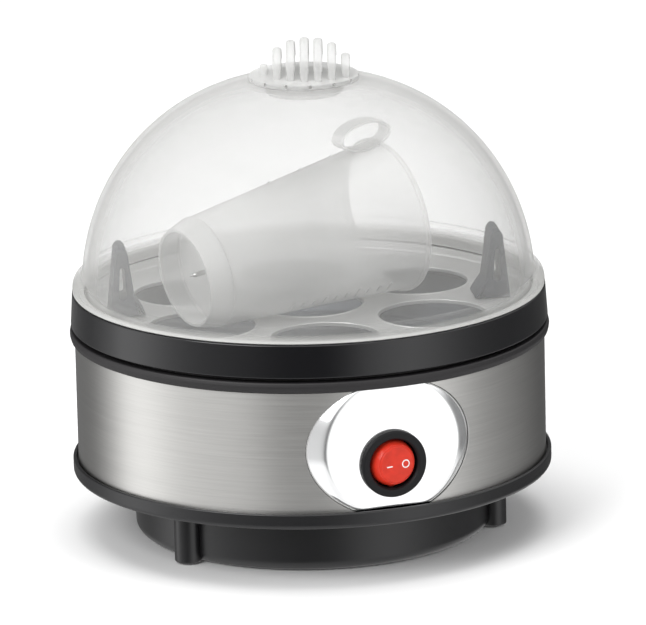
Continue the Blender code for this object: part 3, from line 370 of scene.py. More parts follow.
@dataclass(frozen=True)
class FrostedPlastic(Finish):
    """Milky, see-through plastic: a haze that grows where the wall is seen edge-on."""

    colour: Colour = (0.93, 0.93, 0.925)
    haze: float = 0.24
    rim_haze: float = 0.62
    rim_power: float = 2.4
    roughness: float = 0.30
    frost: float = 2400.0
    frost_depth: float = 0.000010
    hem_haze: float = 0.0

    def paint(self, bench: Bench) -> None:
        """Alpha is the haze, denser in a thick hem; the frost is fine noise in bump and roughness.

        Args:
            bench: the material's node tree.
        """
        edge = bench.out("ShaderNodeLayerWeight", None, {"Blend": 0.5}, "Facing") ** self.rim_power
        cloud = bench.noise(bench.place(), 24.0, 3.0, 0.5)
        frost = bench.noise(bench.place(), self.frost, 2.0, 0.6)
        haze = self.haze + edge * (self.rim_haze - self.haze) + (cloud - 0.5) * 0.05
        if self.hem_haze:
            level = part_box("upper_ring")[1].z
            *_, height = bench.parts(bench.place())
            hem = 1.0 - bench.step(height, level + 0.8 * MM, level + 3.0 * MM)
            haze = haze + hem * (self.hem_haze - self.haze)
        bench.surface({
            "Base Color": bench.blend(cloud, shade(self.colour, 0.985), shade(self.colour, 1.01)),
            "Roughness": self.roughness + (frost - 0.5) * 0.12,
            "Alpha": haze,
            "Normal": bench.bump(frost, self.frost_depth), "IOR": 1.49})


@dataclass(frozen=True)
class TintedLens(Finish):
    """Tinted plastic whose colour scatters a little under its skin."""

    colour: Colour = (0.62, 0.034, 0.016)
    roughness: float = 0.22
    gloss: float = 0.22

    def paint(self, bench: Bench) -> None:
        """Deeper and lighter colour in soft clouds, and a fine grain.

        Args:
            bench: the material's node tree.
        """
        depth = bench.noise(bench.place(), 260.0, 2.0, 0.5)
        grain = bench.noise(bench.place(), 4200.0, 2.0, 0.5)
        bench.surface({
            "Base Color": bench.blend(depth, shade(self.colour, 0.72), shade(self.colour, 1.22)),
            "Roughness": self.roughness + (grain - 0.5) * 0.10,
            "Subsurface Weight": 0.15, "Subsurface Radius": (0.004, 0.0008, 0.0004), "Subsurface Scale": 0.4,
            "Specular IOR Level": self.gloss,
            "Normal": bench.bump(grain, 0.000006)})


@dataclass(frozen=True)
class Sleeve(Finish):
    """Soft PVC, rubber, ceramic or ink: one colour with a dusty, uneven roughness."""

    colour: Colour = (0.02, 0.02, 0.02)
    roughness: float = 0.6
    pits: float = 1500.0
    pit_depth: float = 0.00003
    metallic: float = 0.0

    def paint(self, bench: Bench) -> None:
        """Pits in the bump, dust in the colour.

        Args:
            bench: the material's node tree.
        """
        pits = bench.noise(bench.place(), self.pits, 3.0, 0.6)
        dust = bench.noise(bench.place(), 140.0, 4.0, 0.6)
        bench.surface({
            "Base Color": bench.blend(dust, shade(self.colour, 0.82), shade(self.colour, 1.25)),
            "Metallic": self.metallic,
            "Roughness": self.roughness + (dust - 0.5) * 0.16,
            "Normal": bench.bump(pits, self.pit_depth)})


class Skin(Enum):
    """The finishes of this object, each under the name of the material slot it dresses."""

    BLACK_SHELL = MouldedPlastic("black_shell", colour=(0.008, 0.008, 0.009), roughness=0.30)
    COLLAR_BLACK = MouldedPlastic("collar_black", roughness=0.50, grain=3600.0, grain_depth=0.00004,
                                  colour=(0.013, 0.012, 0.013), gloss=0.42)
    GLOSS_RING = MouldedPlastic("gloss_ring", roughness=0.16, grain=1500.0, grain_depth=0.000004,
                                colour=(0.006, 0.006, 0.007), flow=0.04)
    STEEL_BAND = BrushedSteel("steel_band", colour=(0.52, 0.515, 0.50))
    CHROME_PLATE = PolishedMetal("chrome_plate", roughness=0.06, metallic=0.84)
    SWITCH_BLACK = MouldedPlastic("switch_black", roughness=0.42, grain=6500.0,
                                  colour=(0.010, 0.010, 0.011), gloss=0.16)
    SWITCH_RED = TintedLens("switch_red")
    MARK_INK = Sleeve("mark_ink", colour=(0.86, 0.84, 0.82), roughness=0.5, pits=5000.0, pit_depth=0.000004)
    TRAY_METAL = PressedMetal("tray_metal", colour=(0.62, 0.62, 0.615), roughness=0.40, metallic=0.6)
    HANDLE_BLACK = MouldedPlastic("handle_black", roughness=0.40, colour=(0.010, 0.014, 0.026), gloss=0.3)
    LID_FROSTED = FrostedPlastic("lid_frosted", colour=(0.615, 0.615, 0.60), haze=0.155, rim_haze=0.64,
                                 rim_power=2.7, hem_haze=0.60)
    KNOB_FROSTED = FrostedPlastic("knob_frosted", colour=(0.72, 0.72, 0.71), haze=0.40, rim_haze=0.66,
                                  roughness=0.38, rim_power=1.5)
    CUP_FROSTED = FrostedPlastic("cup_frosted", colour=(0.82, 0.82, 0.81), haze=0.33, rim_haze=0.90,
                                 roughness=0.22, rim_power=2.0)
    PIN_STEEL = PolishedMetal("pin_steel", colour=(0.50, 0.50, 0.49), roughness=0.18)
    PLATE_METAL = PressedMetal("plate_metal", colour=(0.085, 0.095, 0.115), roughness=0.40, rings=1400.0,
                               metallic=0.5)
    INNER_STEEL = PolishedMetal("inner_steel", colour=(0.50, 0.50, 0.48), roughness=0.32, wear=0.12)
    RUBBER = Sleeve("rubber", colour=(0.02, 0.02, 0.02), roughness=0.78)
    SILICONE = Sleeve("silicone", colour=(0.55, 0.16, 0.10), roughness=0.6)
    BRASS = PolishedMetal("brass", colour=(0.65, 0.48, 0.22), roughness=0.30, wear=0.12)
    CERAMIC = Sleeve("ceramic", colour=(0.78, 0.76, 0.70), roughness=0.5, pits=900.0)
    PHENOLIC = MouldedPlastic("phenolic", colour=(0.08, 0.05, 0.03), roughness=0.5, grain=2200.0)
    WIRE_BLACK = Sleeve("wire_black", colour=(0.014, 0.014, 0.015), roughness=0.45)
    WIRE_BROWN = Sleeve("wire_brown", colour=(0.16, 0.07, 0.03), roughness=0.45)
    WIRE_GREEN = Sleeve("wire_green", colour=(0.10, 0.32, 0.06), roughness=0.45)
    LAMP_GLASS = FrostedPlastic("lamp_glass", colour=(0.9, 0.6, 0.4), haze=0.5, rim_haze=0.8, roughness=0.1)

    @property
    def finish(self) -> Finish:
        """The finish itself."""
        return self.value


# ---------------------------------------------------------------- surfaces

@dataclass(frozen=True)
class Shape:
    """Corners (n, 3) and four-sided faces (m, 4) of one or several surfaces."""

    points: Array
    faces: Array

    def __add__(self, other: "Shape") -> "Shape":
        """Both shapes, side by side in one."""
        return Shape(np.vstack([self.points, other.points]),
                     np.vstack([self.faces, other.faces + len(self.points)]))

    def placed(self, matrix: Matrix) -> "Shape":
        """The shape moved by a matrix: each corner times its turn, plus its shift."""
        turn = np.array(matrix.to_3x3())
        return Shape(self.points @ turn.T + np.array(matrix.translation), self.faces)


def grid(points: Array, wrap_u: bool = False, wrap_v: bool = False) -> Shape:
    """A surface over a grid of two parameters.

    Args:
        points: corners, (u, v, 3); the face at (i, j) has corners (i, j), (i+1, j), (i+1, j+1), (i, j+1).
        wrap_u: the last row of u joins the first.
        wrap_v: the last row of v joins the first.

    Returns:
        The surface.
    """
    rows, columns = points.shape[:2]
    index = np.arange(rows * columns).reshape(rows, columns)
    across = np.vstack([index, index[:1]]) if wrap_u else index
    whole = np.hstack([across, across[:, :1]]) if wrap_v else across
    faces = np.stack([whole[:-1, :-1], whole[1:, :-1], whole[1:, 1:], whole[:-1, 1:]], axis=-1)
    return Shape(points.reshape(-1, 3), faces.reshape(-1, 4))


def capped(points: Array) -> Shape:
    """A tube over a grid whose v wraps, closed at both ends by a fan to each end's middle."""
    ends = [np.repeat(points[i].mean(axis=0)[None, None], points.shape[1], axis=1) for i in (0, -1)]
    return grid(np.vstack([ends[0], points, ends[1]]), wrap_v=True)


def walled(outer: Array, inner: Array) -> Shape:
    """A closed wall between two grids of the same size: both faces and the strip round their border.

    Args:
        outer: one face's corners, (u, v, 3).
        inner: the other face's.

    Returns:
        The wall.
    """
    loop = np.concatenate([outer, inner[:, ::-1]], axis=1)
    middle = (outer + inner) / 2
    sides = np.concatenate([middle, middle[:, ::-1]], axis=1)
    return grid(np.concatenate([sides[:1], loop, sides[-1:]], axis=0), wrap_v=True)


def lathe(outline: Array, steps: int = 224) -> Shape:
    """Turns a closed outline about Z: (r, z) at angle a becomes (r cos a, r sin a, z).

    Args:
        outline: (n, 2) radii and heights; a radius of 0 closes on the axis.
        steps: facets in the turn.

    Returns:
        The turned surface, whose poles are welded later.
    """
    angles = np.linspace(0, TAU, steps, endpoint=False)
    ring = np.stack([np.cos(angles), np.sin(angles)], axis=1)
    flat = outline[:, None, :1] * ring[None]
    height = np.repeat(outline[:, None, 1:], steps, axis=1)
    return grid(np.concatenate([flat, height], axis=2), wrap_u=True, wrap_v=True)


def rounded(corners: Iterable[Sequence[float]], parts: int = 5) -> Array:
    """Rounds a closed outline's corners by circular arcs.

    A corner p between edges at directions a and b, with radius r and turn t, gets the arc that touches both
    edges at r tan(t/2) from p, cut short where an edge is short. One more point stands just outside each end
    of the arc, which keeps the flats flat when shaded.

    Args:
        corners: (x, y, radius) of each corner in order.
        parts: pieces of each arc.

    Returns:
        The outline's points, (n, 2).
    """
    data = np.array([tuple(c) + (0.0,) * (3 - len(c)) for c in corners])
    spots, radii = data[:, :2], data[:, 2]
    back, ahead = np.roll(spots, 1, axis=0) - spots, np.roll(spots, -1, axis=0) - spots
    line: list[Array] = []
    for spot, radius, to_back, to_ahead in zip(spots, radii, back, ahead):
        if radius <= 0:
            line.append(spot[None])
            continue
        reach_back, reach_ahead = np.linalg.norm(to_back), np.linalg.norm(to_ahead)
        a, b = to_back / reach_back, to_ahead / reach_ahead
        half = math.acos(float(np.clip(a @ b, -1, 1))) / 2
        touch = min(radius / math.tan(half), 0.46 * reach_back, 0.46 * reach_ahead)
        true_radius = touch * math.tan(half)
        middle = spot + (a + b) / np.linalg.norm(a + b) * (true_radius / math.sin(half))
        start, end = spot + a * touch - middle, spot + b * touch - middle
        swing = math.atan2(start[0] * end[1] - start[1] * end[0], float(start @ end))
        turns = np.linspace(0, swing, parts + 1)
        arc = np.stack([start[0] * np.cos(turns) - start[1] * np.sin(turns),
                        start[0] * np.sin(turns) + start[1] * np.cos(turns)], axis=1) + middle
        support = 0.15 * touch
        line.append(np.vstack([spot + a * (touch + support), arc, spot + b * (touch + support)]))
    return np.vstack(line)


def joined(shapes: Iterable[Shape]) -> Shape:
    """Several shapes side by side in one."""
    return reduce(operator.add, shapes)


def rounded_block(size: Sequence[float], middle: Sequence[float], corner: float, edge: float) -> Shape:
    """A bar along Z: a rounded rectangle carried up, drawn in at both ends by a quarter circle.

    Args:
        size: its three lengths.
        middle: its middle.
        corner: radius of its long edges.
        edge: radius of the rounding at both ends.

    Returns:
        The closed bar.
    """
    half_x, half_y, half_z = (part / 2 for part in size)
    flat = rounded([(half_x, half_y, corner), (-half_x, half_y, corner),
                    (-half_x, -half_y, corner), (half_x, -half_y, corner)], 4)
    turn = np.linspace(0, math.pi / 2, 5)
    inset = edge * (1 - np.sin(turn))
    height = half_z - edge * (1 - np.cos(turn))
    inset, height = np.concatenate([inset, inset[::-1]]), np.concatenate([-height, height[::-1]])
    share = 1 - inset[:, None, None] / np.array([half_x, half_y])
    rings = np.concatenate([flat[None] * share, np.repeat(height[:, None, None], len(flat), axis=1)], axis=2)
    return capped(rings + np.array(middle))


def rods(places: Array, radius: float, low: float, high: float, steps: int) -> Shape:
    """Upright cylinders at several places.

    Args:
        places: (n, 2) places on the floor.
        radius: their radius.
        low: height of their lower ends.
        high: height of their upper ends.
        steps: facets round each.

    Returns:
        The cylinders.
    """
    one = lathe(np.array([(0, low), (radius, low), (radius, high), (0, high)]), steps)
    return joined(one.placed(Matrix.Translation((x, y, 0))) for x, y in places)


def on_ring(radius: float, degrees: float, height: float = 0.0) -> Matrix:
    """Carries a shape from the Z axis out to a ring about it, at an angle from +X."""
    angle = math.radians(degrees)
    return Matrix.Translation((radius * math.cos(angle), radius * math.sin(angle), height))


def facing_front(height: float) -> Matrix:
    """Carries a shape made about +Z onto the switch's axis: its Z points to -Y and its Y up, at height."""
    return Matrix.Translation((0, 0, height)) @ Matrix.Rotation(math.pi / 2, 4, "X")


# ---------------------------------------------------------------- pieces

def welded(name: str, shape: Shape) -> bpy.types.Mesh:
    """A mesh of a shape, its doubles merged and its faces turned outwards.

    Args:
        name: the mesh's name.
        shape: the surface.

    Returns:
        The new mesh.
    """
    mesh = bpy.data.meshes.new(name)
    mesh.from_pydata(shape.points.tolist(), [], shape.faces.tolist())
    work = bmesh.new()
    work.from_mesh(mesh)
    bmesh.ops.remove_doubles(work, verts=work.verts, dist=WELD)
    bmesh.ops.recalc_face_normals(work, faces=work.faces)
    work.to_mesh(mesh)
    work.free()
    return mesh


def piece(name: str, shape: Shape, skin: Skin, body: str,
          stands_for: Sequence[str] = (), sharp: float = SHARP) -> bpy.types.Object:
    """Makes one finished piece, welded, facing outwards, dressed and riding on its body.

    Args:
        name: the piece's name.
        shape: its surface, in the object's frame.
        skin: the finish it wears.
        body: the moving body it goes with.
        stands_for: the frame's nodes that it replaces.
        sharp: edges that turn more than this many degrees stay crisp.

    Returns:
        The new object.
    """
    mesh = welded(name, shape)
    mesh.shade_smooth()
    mesh.set_sharp_from_angle(angle=math.radians(sharp))
    mesh.materials.append(skin.finish.material())
    made = bpy.data.objects.new(name, mesh)
    bpy.context.scene.collection.objects.link(made)
    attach(made, body)
    if stands_for:
        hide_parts(*stands_for)
    LOG.info("%-24s %6d faces, rides on %s", name, len(mesh.polygons), body)
    return made


def drilled(target: bpy.types.Object, drill: Shape) -> None:
    """Takes a shape out of a finished piece.

    Args:
        target: the piece.
        drill: what is taken away.
    """
    cutter = bpy.data.objects.new("drill", welded("drill", drill))
    bpy.context.scene.collection.objects.link(cutter)
    modifier = target.modifiers.new("drill", "BOOLEAN")
    modifier.operation = "DIFFERENCE"
    modifier.solver = "EXACT"
    modifier.object = cutter
    result = bpy.data.meshes.new_from_object(target.evaluated_get(bpy.context.evaluated_depsgraph_get()))
    target.modifiers.clear()
    target.data = result
    result.shade_smooth()
    result.set_sharp_from_angle(angle=math.radians(SHARP))
    bpy.data.objects.remove(cutter)


def dress(nodes: Iterable[str], skin: Skin) -> None:
    """Gives the frame's nodes that stay as they are their finish.

    Args:
        nodes: the nodes' names.
        skin: the finish they wear.
    """
    for name in nodes:
        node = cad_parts[name]
        node.data.materials.clear()
        node.data.materials.append(skin.finish.material())
        LOG.info("%-24s dressed in %s", name, skin.finish.name)


# ---------------------------------------------------------------- the base

@dataclass
class BaseShell:
    """Black base: foot bowl, overhanging flange with the band's channel, three legs and the cord inlet."""

    foot_radius: float = 0.0647
    wall: float = 0.0022
    bottom: float = 0.0005
    floor: float = 0.0032
    undercut: float = 0.0007
    channel_inside: float = 0.0820
    leg_radius: float = 0.0048
    leg_seat: float = 0.0036
    leg_angles: tuple[float, ...] = (-28.0, 90.0, 207.0)
    leg_ring: float = 0.0658
    inlet: tuple[float, float] = (0.0240, 0.0130)
    inlet_half: tuple[float, float] = (0.0080, 0.0070)
    inlet_face: float = 0.0665
    inlet_bore: float = 0.0055
    gland_bore: float = 0.0037
    gland_neck: float = 0.0052

    def __post_init__(self) -> None:
        """Reads the flange's size from the frame."""
        band_low, band_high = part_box("steel_band")
        self.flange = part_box("base_housing")[1].x
        self.band = band_high.x
        self.channel = band_low.z - GAP
        self.under = self.channel - 4.0 * MM
        self.top = self.channel + 1.7 * MM

    def bowl(self) -> Shape:
        """The bowl and flange, turned; a shallow ring is pressed in its underside.

        Returns:
            The shell.
        """
        foot, flange, under, bottom = self.foot_radius, self.flange, self.under, self.bottom
        neck, lip, inner = foot - self.undercut, self.band + 0.6 * MM, foot - self.wall
        pressed = [(0.0400, bottom, 0.3 * MM), (0.0404, 1.1 * MM, 0.3 * MM), (0.0430, 1.1 * MM, 0.3 * MM),
                   (0.0434, bottom, 0.3 * MM)]
        outside = [(foot, bottom, 3.4 * MM), (foot, under - 2.6 * MM, 0.4 * MM),
                   (neck, under - 2.2 * MM, 0.3 * MM), (neck, under, 0.5 * MM), (flange, under, 1.6 * MM),
                   (flange, self.top, 0.7 * MM), (lip, self.top, 0.3 * MM), (lip, self.channel)]
        inside = [(self.channel_inside, self.channel), (self.channel_inside, under + self.wall),
                  (inner, under + self.wall, 0.8 * MM), (inner, self.floor, 4.0 * MM)]
        return lathe(rounded([(0, bottom), *pressed, *outside, *inside, (0, self.floor)], 7))

    def legs(self) -> Shape:
        """Three round legs, each a rounded post with a rim round the foot's seat.

        Returns:
            The legs.
        """
        radius, seat, low, top = self.leg_radius, self.leg_seat, 0.6 * MM, self.under + 0.2 * MM
        post = lathe(rounded([
            (0, 2.7 * MM), (seat, 2.7 * MM), (seat, low, 0.2 * MM), (radius, low, 0.7 * MM),
            (radius * 1.01, self.under - 1.2 * MM, 0.3 * MM), (radius + 1.0 * MM, top), (0, top)], 5), 64)
        return joined(post.placed(on_ring(self.leg_ring, angle)) for angle in self.leg_angles)

    def inlet_boss(self) -> Shape:
        """The flat-faced boss round the cord's hole: rounded rectangles outside, circles inside, along Y.

        The rectangles are the circle's cosine and sine to a small power, scaled to the boss's half sizes.

        Returns:
            The boss.
        """
        angles = np.linspace(0, TAU, 72, endpoint=False)
        ring = np.stack([np.cos(angles), np.sin(angles)], axis=1)
        box = np.sign(ring) * np.abs(ring) ** 0.2
        box = box / np.max(np.abs(box), axis=1, keepdims=True) * np.array(self.inlet_half)
        back, front, bore = self.inlet_face - 12.0 * MM, self.inlet_face, self.inlet_bore
        stations = [(box, back), (box, front - 1.0 * MM), (box * 0.97, front - 0.25 * MM),
                    (box * 0.91, front), (ring * (bore + 0.5 * MM), front),
                    (ring * bore, front - 0.5 * MM), (ring * bore, back)]
        across, up = self.inlet
        rows = [np.column_stack([flat[:, 0] + across, np.full(len(flat), y), flat[:, 1] + up])
                for flat, y in stations]
        return grid(np.array(rows), wrap_u=True, wrap_v=True)

    def foot(self, number: int) -> None:
        """Makes one rubber foot: a short pad with a rounded sole.

        Args:
            number: which leg it stands under, from 1.
        """
        low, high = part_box(f"rubber_foot_{number}")
        radius = (high.x - low.x) / 2
        pad = lathe(rounded([(0, 0), (radius, 0, 0.5 * MM), (radius, high.z, 0.2 * MM), (0, high.z)], 4), 48)
        place = on_ring(self.leg_ring, self.leg_angles[number - 1])
        piece(f"foot_pad_{number}", pad.placed(place), Skin.RUBBER, "base",
              [f"rubber_foot_{number}"])

    def gland(self) -> None:
        """Makes the rubber bushing that lines the inlet: a sleeve with a soft lip at both ends."""
        low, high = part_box("cord_gland")
        length, lip, bore, neck = high.y - low.y, (high.x - low.x) / 2, self.gland_bore, self.gland_neck
        outline = rounded([
            (bore, 0, 0.4 * MM), (lip, 0, 0.5 * MM), (lip, 1.5 * MM, 0.2 * MM), (neck, 1.5 * MM),
            (neck, length - 1.5 * MM), (lip, length - 1.5 * MM, 0.2 * MM),
            (lip - 0.2 * MM, length, 0.8 * MM), (bore, length, 0.5 * MM)], 4)
        place = Matrix.Translation(((low.x + high.x) / 2, low.y, (low.z + high.z) / 2)) \
            @ Matrix.Rotation(-math.pi / 2, 4, "X")
        piece("inlet_gland", lathe(outline, 56).placed(place), Skin.RUBBER, "base", ["cord_gland"])

    def build(self) -> None:
        """Makes the shell's pieces, the feet and the gland."""
        piece("base_shell", self.bowl(), Skin.BLACK_SHELL, "base", ["base_housing"])
        piece("base_legs", self.legs(), Skin.BLACK_SHELL, "base")
        piece("inlet_boss", self.inlet_boss(), Skin.BLACK_SHELL, "base")
        for number in range(1, len(self.leg_angles) + 1):
            self.foot(number)
        self.gland()


@dataclass
class BandAndRings:
    """The steel band, the collar on it, and the glossy ring that carries tray and lid."""

    band_wall: float = 0.0005
    plate_radius: float = 0.0253
    opening_gap: float = 0.0006
    plate_inset: float = 0.0009
    widest_opening: float = 0.045
    skirt_inside: float = 0.0804
    skirt_outside: float = 0.0819
    skirt_deep: float = 0.0079
    groove: float = 0.0026
    shelf_wide: float = 0.0105
    post_angles: tuple[float, ...] = (45.0, 135.0, 225.0, 315.0)
    post_inset: float = 0.0080
    post_radius: float = 0.0036
    ring_lean: float = 0.0008
    ring_shelf: float = 0.0072

    def __post_init__(self) -> None:
        """Reads the heights and radii from the frame."""
        self.low, self.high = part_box("steel_band")
        self.radius = self.high.x
        self.collar_low, self.collar_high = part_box("collar")
        self.ring_low, self.ring_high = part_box("upper_ring")

    def opening_angle(self, height: Array) -> Array:
        """Half the angle of the band's opening at each height.

        The plate's cone meets the band where sqrt(x^2 + h^2) + sqrt(R^2 - x^2) = c, with h the height from
        the plate's middle; x is found by halving an interval, for all heights at once.

        Args:
            height: heights above the floor.

        Returns:
            Angles in radians from the front.
        """
        middle = (self.low.z + 1.4 * MM + self.high.z) / 2
        offset = height - middle
        reach = self.plate_radius + self.opening_gap + self.radius - self.plate_inset
        near, far = np.zeros_like(offset), np.full_like(offset, self.widest_opening)
        for _ in range(40):
            x = (near + far) / 2
            wide = np.sqrt(x * x + offset * offset) + np.sqrt(self.radius ** 2 - x * x) > reach
            far, near = np.where(wide, x, far), np.where(wide, near, x)
        return np.arcsin(near / self.radius)

    def band(self) -> Shape:
        """The band: at each height, an arc from one side of the plate's opening round to the other.

        Returns:
            The band.
        """
        height = np.linspace(self.low.z, self.high.z, 48)
        edge = self.opening_angle(height)
        share = np.linspace(0, 1, 320)[:, None]
        angle = -math.pi / 2 + edge[None] + share * (TAU - 2 * edge[None])
        levels = np.repeat(height[None], len(share), axis=0)

        def at(radius: float) -> Array:
            """The whole grid at one radius."""
            return np.stack([radius * np.cos(angle), radius * np.sin(angle), levels], axis=-1)

        return walled(at(self.radius), at(self.radius - self.band_wall))

    def collar(self) -> Shape:
        """The collar: a full, softly curled lip over the band's edge, and a low spigot above it.

        Returns:
            The collar.
        """
        low, high, lip = self.high.z + GAP, self.collar_high.z, self.collar_high.x
        spigot, shelf = self.radius - self.groove, self.radius - self.shelf_wide
        inside, outside, foot = self.skirt_inside, self.skirt_outside, low - self.skirt_deep
        return lathe(rounded([
            (inside, foot), (outside, foot), (outside, low), (self.radius + 0.3 * MM, low, 0.3 * MM),
            (lip - 0.5 * MM, low + 0.2 * MM, 0.9 * MM), (lip, low + 2.2 * MM, 2.2 * MM),
            (lip - 0.4 * MM, high - 1.1 * MM, 0.7 * MM), (spigot, high - 1.3 * MM, 0.2 * MM),
            (spigot, high, 0.2 * MM), (shelf, high, 0.4 * MM), (shelf, high - 2.2 * MM, 0.3 * MM),
            (inside, high - 2.2 * MM, 0.5 * MM)], 6))

    def posts(self) -> Shape:
        """The four screw posts that reach down inside the band.

        Returns:
            The posts.
        """
        angles = np.radians(self.post_angles)
        ring = self.radius - self.post_inset
        return rods(np.column_stack([ring * np.cos(angles), ring * np.sin(angles)]), self.post_radius,
                    self.collar_low.z, self.collar_high.z - 1.1 * MM, 40)

    def ring(self) -> Shape:
        """The glossy ring: a tall band that leans in a little, with a crisp top edge and the tray's shelf.

        Returns:
            The ring.
        """
        low, high = self.ring_low.z, self.ring_high.z
        foot, top = self.ring_high.x, self.ring_high.x - self.ring_lean
        inside = self.radius + 0.5 * MM - 2.3 * MM
        shelf, bore, step = inside - self.ring_shelf, inside - 0.3 * MM, low + 3.6 * MM
        return lathe(rounded([
            (bore, low), (foot, low, 0.5 * MM), (top, high, 0.55 * MM), (inside, high, 0.4 * MM),
            (inside, step, 0.3 * MM), (shelf, step, 0.3 * MM), (shelf, low + 2.0 * MM, 0.3 * MM),
            (bore, low + 2.0 * MM)], 6))

    def build(self) -> None:
        """Makes the three round pieces and the posts."""
        piece("brushed_band", self.band(), Skin.STEEL_BAND, "base", ["steel_band"], sharp=50)
        piece("collar_lip", self.collar(), Skin.COLLAR_BLACK, "base", ["collar"])
        piece("collar_posts", self.posts(), Skin.COLLAR_BLACK, "base")
        piece("glossy_ring", self.ring(), Skin.GLOSS_RING, "base", ["upper_ring"])


@dataclass
class HeatingPlate:
    """The pressed bowl that boils the water, and what is fixed under it."""

    thick: float = 0.0007
    wall: float = 0.0732
    run: float = 0.0600
    steel_nodes: tuple[str, ...] = (
        "heating_element", "element_clamp", "clamp_stud", "clamp_nut", "thermal_fuse",
        "housing_screw_1", "housing_screw_2", "housing_screw_3", "housing_screw_4")
    brass_nodes: tuple[str, ...] = (
        "earth_tab", "switch_terminal_1", "switch_terminal_2", "switch_terminal_3")

    def dish(self) -> Shape:
        """The plate, turned: a flat floor, a sloping wall and a level rim.

        Returns:
            The plate.
        """
        low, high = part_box("heating_plate")
        rim, floor, top = high.x, low.z, high.z
        wall, run, thick = self.wall, self.run, self.thick
        return lathe(rounded([
            (0, floor), (run, floor, 3.5 * MM), (wall, top - thick, 2.0 * MM), (rim, top - thick), (rim, top),
            (wall - thick, top, 1.6 * MM), (run - thick, floor + thick, 3.0 * MM), (0, floor + thick)], 6))

    def build(self) -> None:
        """Makes the plate and dresses the parts that stay as the frame has them."""
        piece("boiling_plate", self.dish(), Skin.PLATE_METAL, "base", ["heating_plate"])
        dress(["plate_gasket"], Skin.SILICONE)
        dress(self.steel_nodes, Skin.INNER_STEEL)
        dress(self.brass_nodes, Skin.BRASS)
        dress(["thermostat"], Skin.PHENOLIC)
        dress(["terminal_block"], Skin.CERAMIC)
        dress(["wire_live", "wire_switched"], Skin.WIRE_BLACK)
        dress(["wire_neutral", "wire_element"], Skin.WIRE_BROWN)
        dress(["wire_earth"], Skin.WIRE_GREEN)
        dress(["indicator_lamp"], Skin.LAMP_GLASS)


# ---------------------------------------------------------------- the switch

@dataclass
class SwitchPlate:
    """The chromed plate: a flat round face that slopes back at its flank, cut off level above and below."""

    face_radius: float = 0.0253
    middle: float = 0.0498
    edge: float = 0.0009
    wall: float = 0.0016
    hole: float = 0.0106
    crown: float = 0.00020

    def __post_init__(self) -> None:
        """Reads the plate's place from the frame."""
        self.low, self.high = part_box("switch_escutcheon")
        switch_low, switch_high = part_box("switch_housing")
        self.switch_height = (switch_low.z + switch_high.z) / 2

    def depth(self, x: Array, y: Array) -> Array:
        """How far the surface lies behind the face at (x, y) from the plate's middle.

        It is a soft step: e ln(1 + exp((r - R) / e)), nothing inside the face's radius R and one for one
        outside it, plus a very slight crown over the face.

        Args:
            x: across.
            y: up.

        Returns:
            Depths in metres.
        """
        away = np.sqrt(x * x + y * y)
        soft = self.edge * 0.45
        return soft * np.logaddexp(0, (away - self.face_radius) / soft) \
            + self.crown * (away / self.face_radius) ** 2

    def surface(self) -> Shape:
        """Rays from the switch's hole out to the plate's border, which is a circle cut off level.

        Returns:
            The plate, front and back.
        """
        angles = np.linspace(0, TAU, 432, endpoint=False)
        ray = np.stack([np.cos(angles), np.sin(angles)], axis=1)
        start = np.array([0.0, self.switch_height - self.middle])
        outer = self.face_radius + self.high.y - self.low.y - GAP
        along = ray @ start
        to_circle = -along + np.sqrt(along ** 2 - start @ start + outer ** 2)
        half_up, half_down = self.high.z - self.middle, self.middle - self.low.z
        limit = np.where(ray[:, 1] > 0, half_up - start[1], half_down + start[1])
        to_level = limit / np.maximum(np.abs(ray[:, 1]), 1e-6)
        reach = np.minimum(to_circle, to_level)
        share = np.linspace(0, 1, 72) ** 0.9
        away = self.hole + (reach[:, None] - self.hole) * share[None]
        flat = start + ray[:, None] * away[..., None]
        back = self.depth(flat[..., 0], flat[..., 1])
        outside = np.stack([flat[..., 0], self.low.y + back, flat[..., 1] + self.middle], axis=-1)
        inside = outside + np.array([0, self.wall, 0])
        return grid(np.concatenate([outside, inside[:, ::-1]], axis=1), wrap_u=True, wrap_v=True)

    def build(self) -> None:
        """Makes the chromed plate."""
        piece("chrome_plate", self.surface(), Skin.CHROME_PLATE, "base",
              ["switch_escutcheon"], sharp=60)


class Mark(Enum):
    """The two marks on the rocker, each with its place across the face."""

    ON_BAR = -3.1 * MM
    OFF_RING = 3.4 * MM


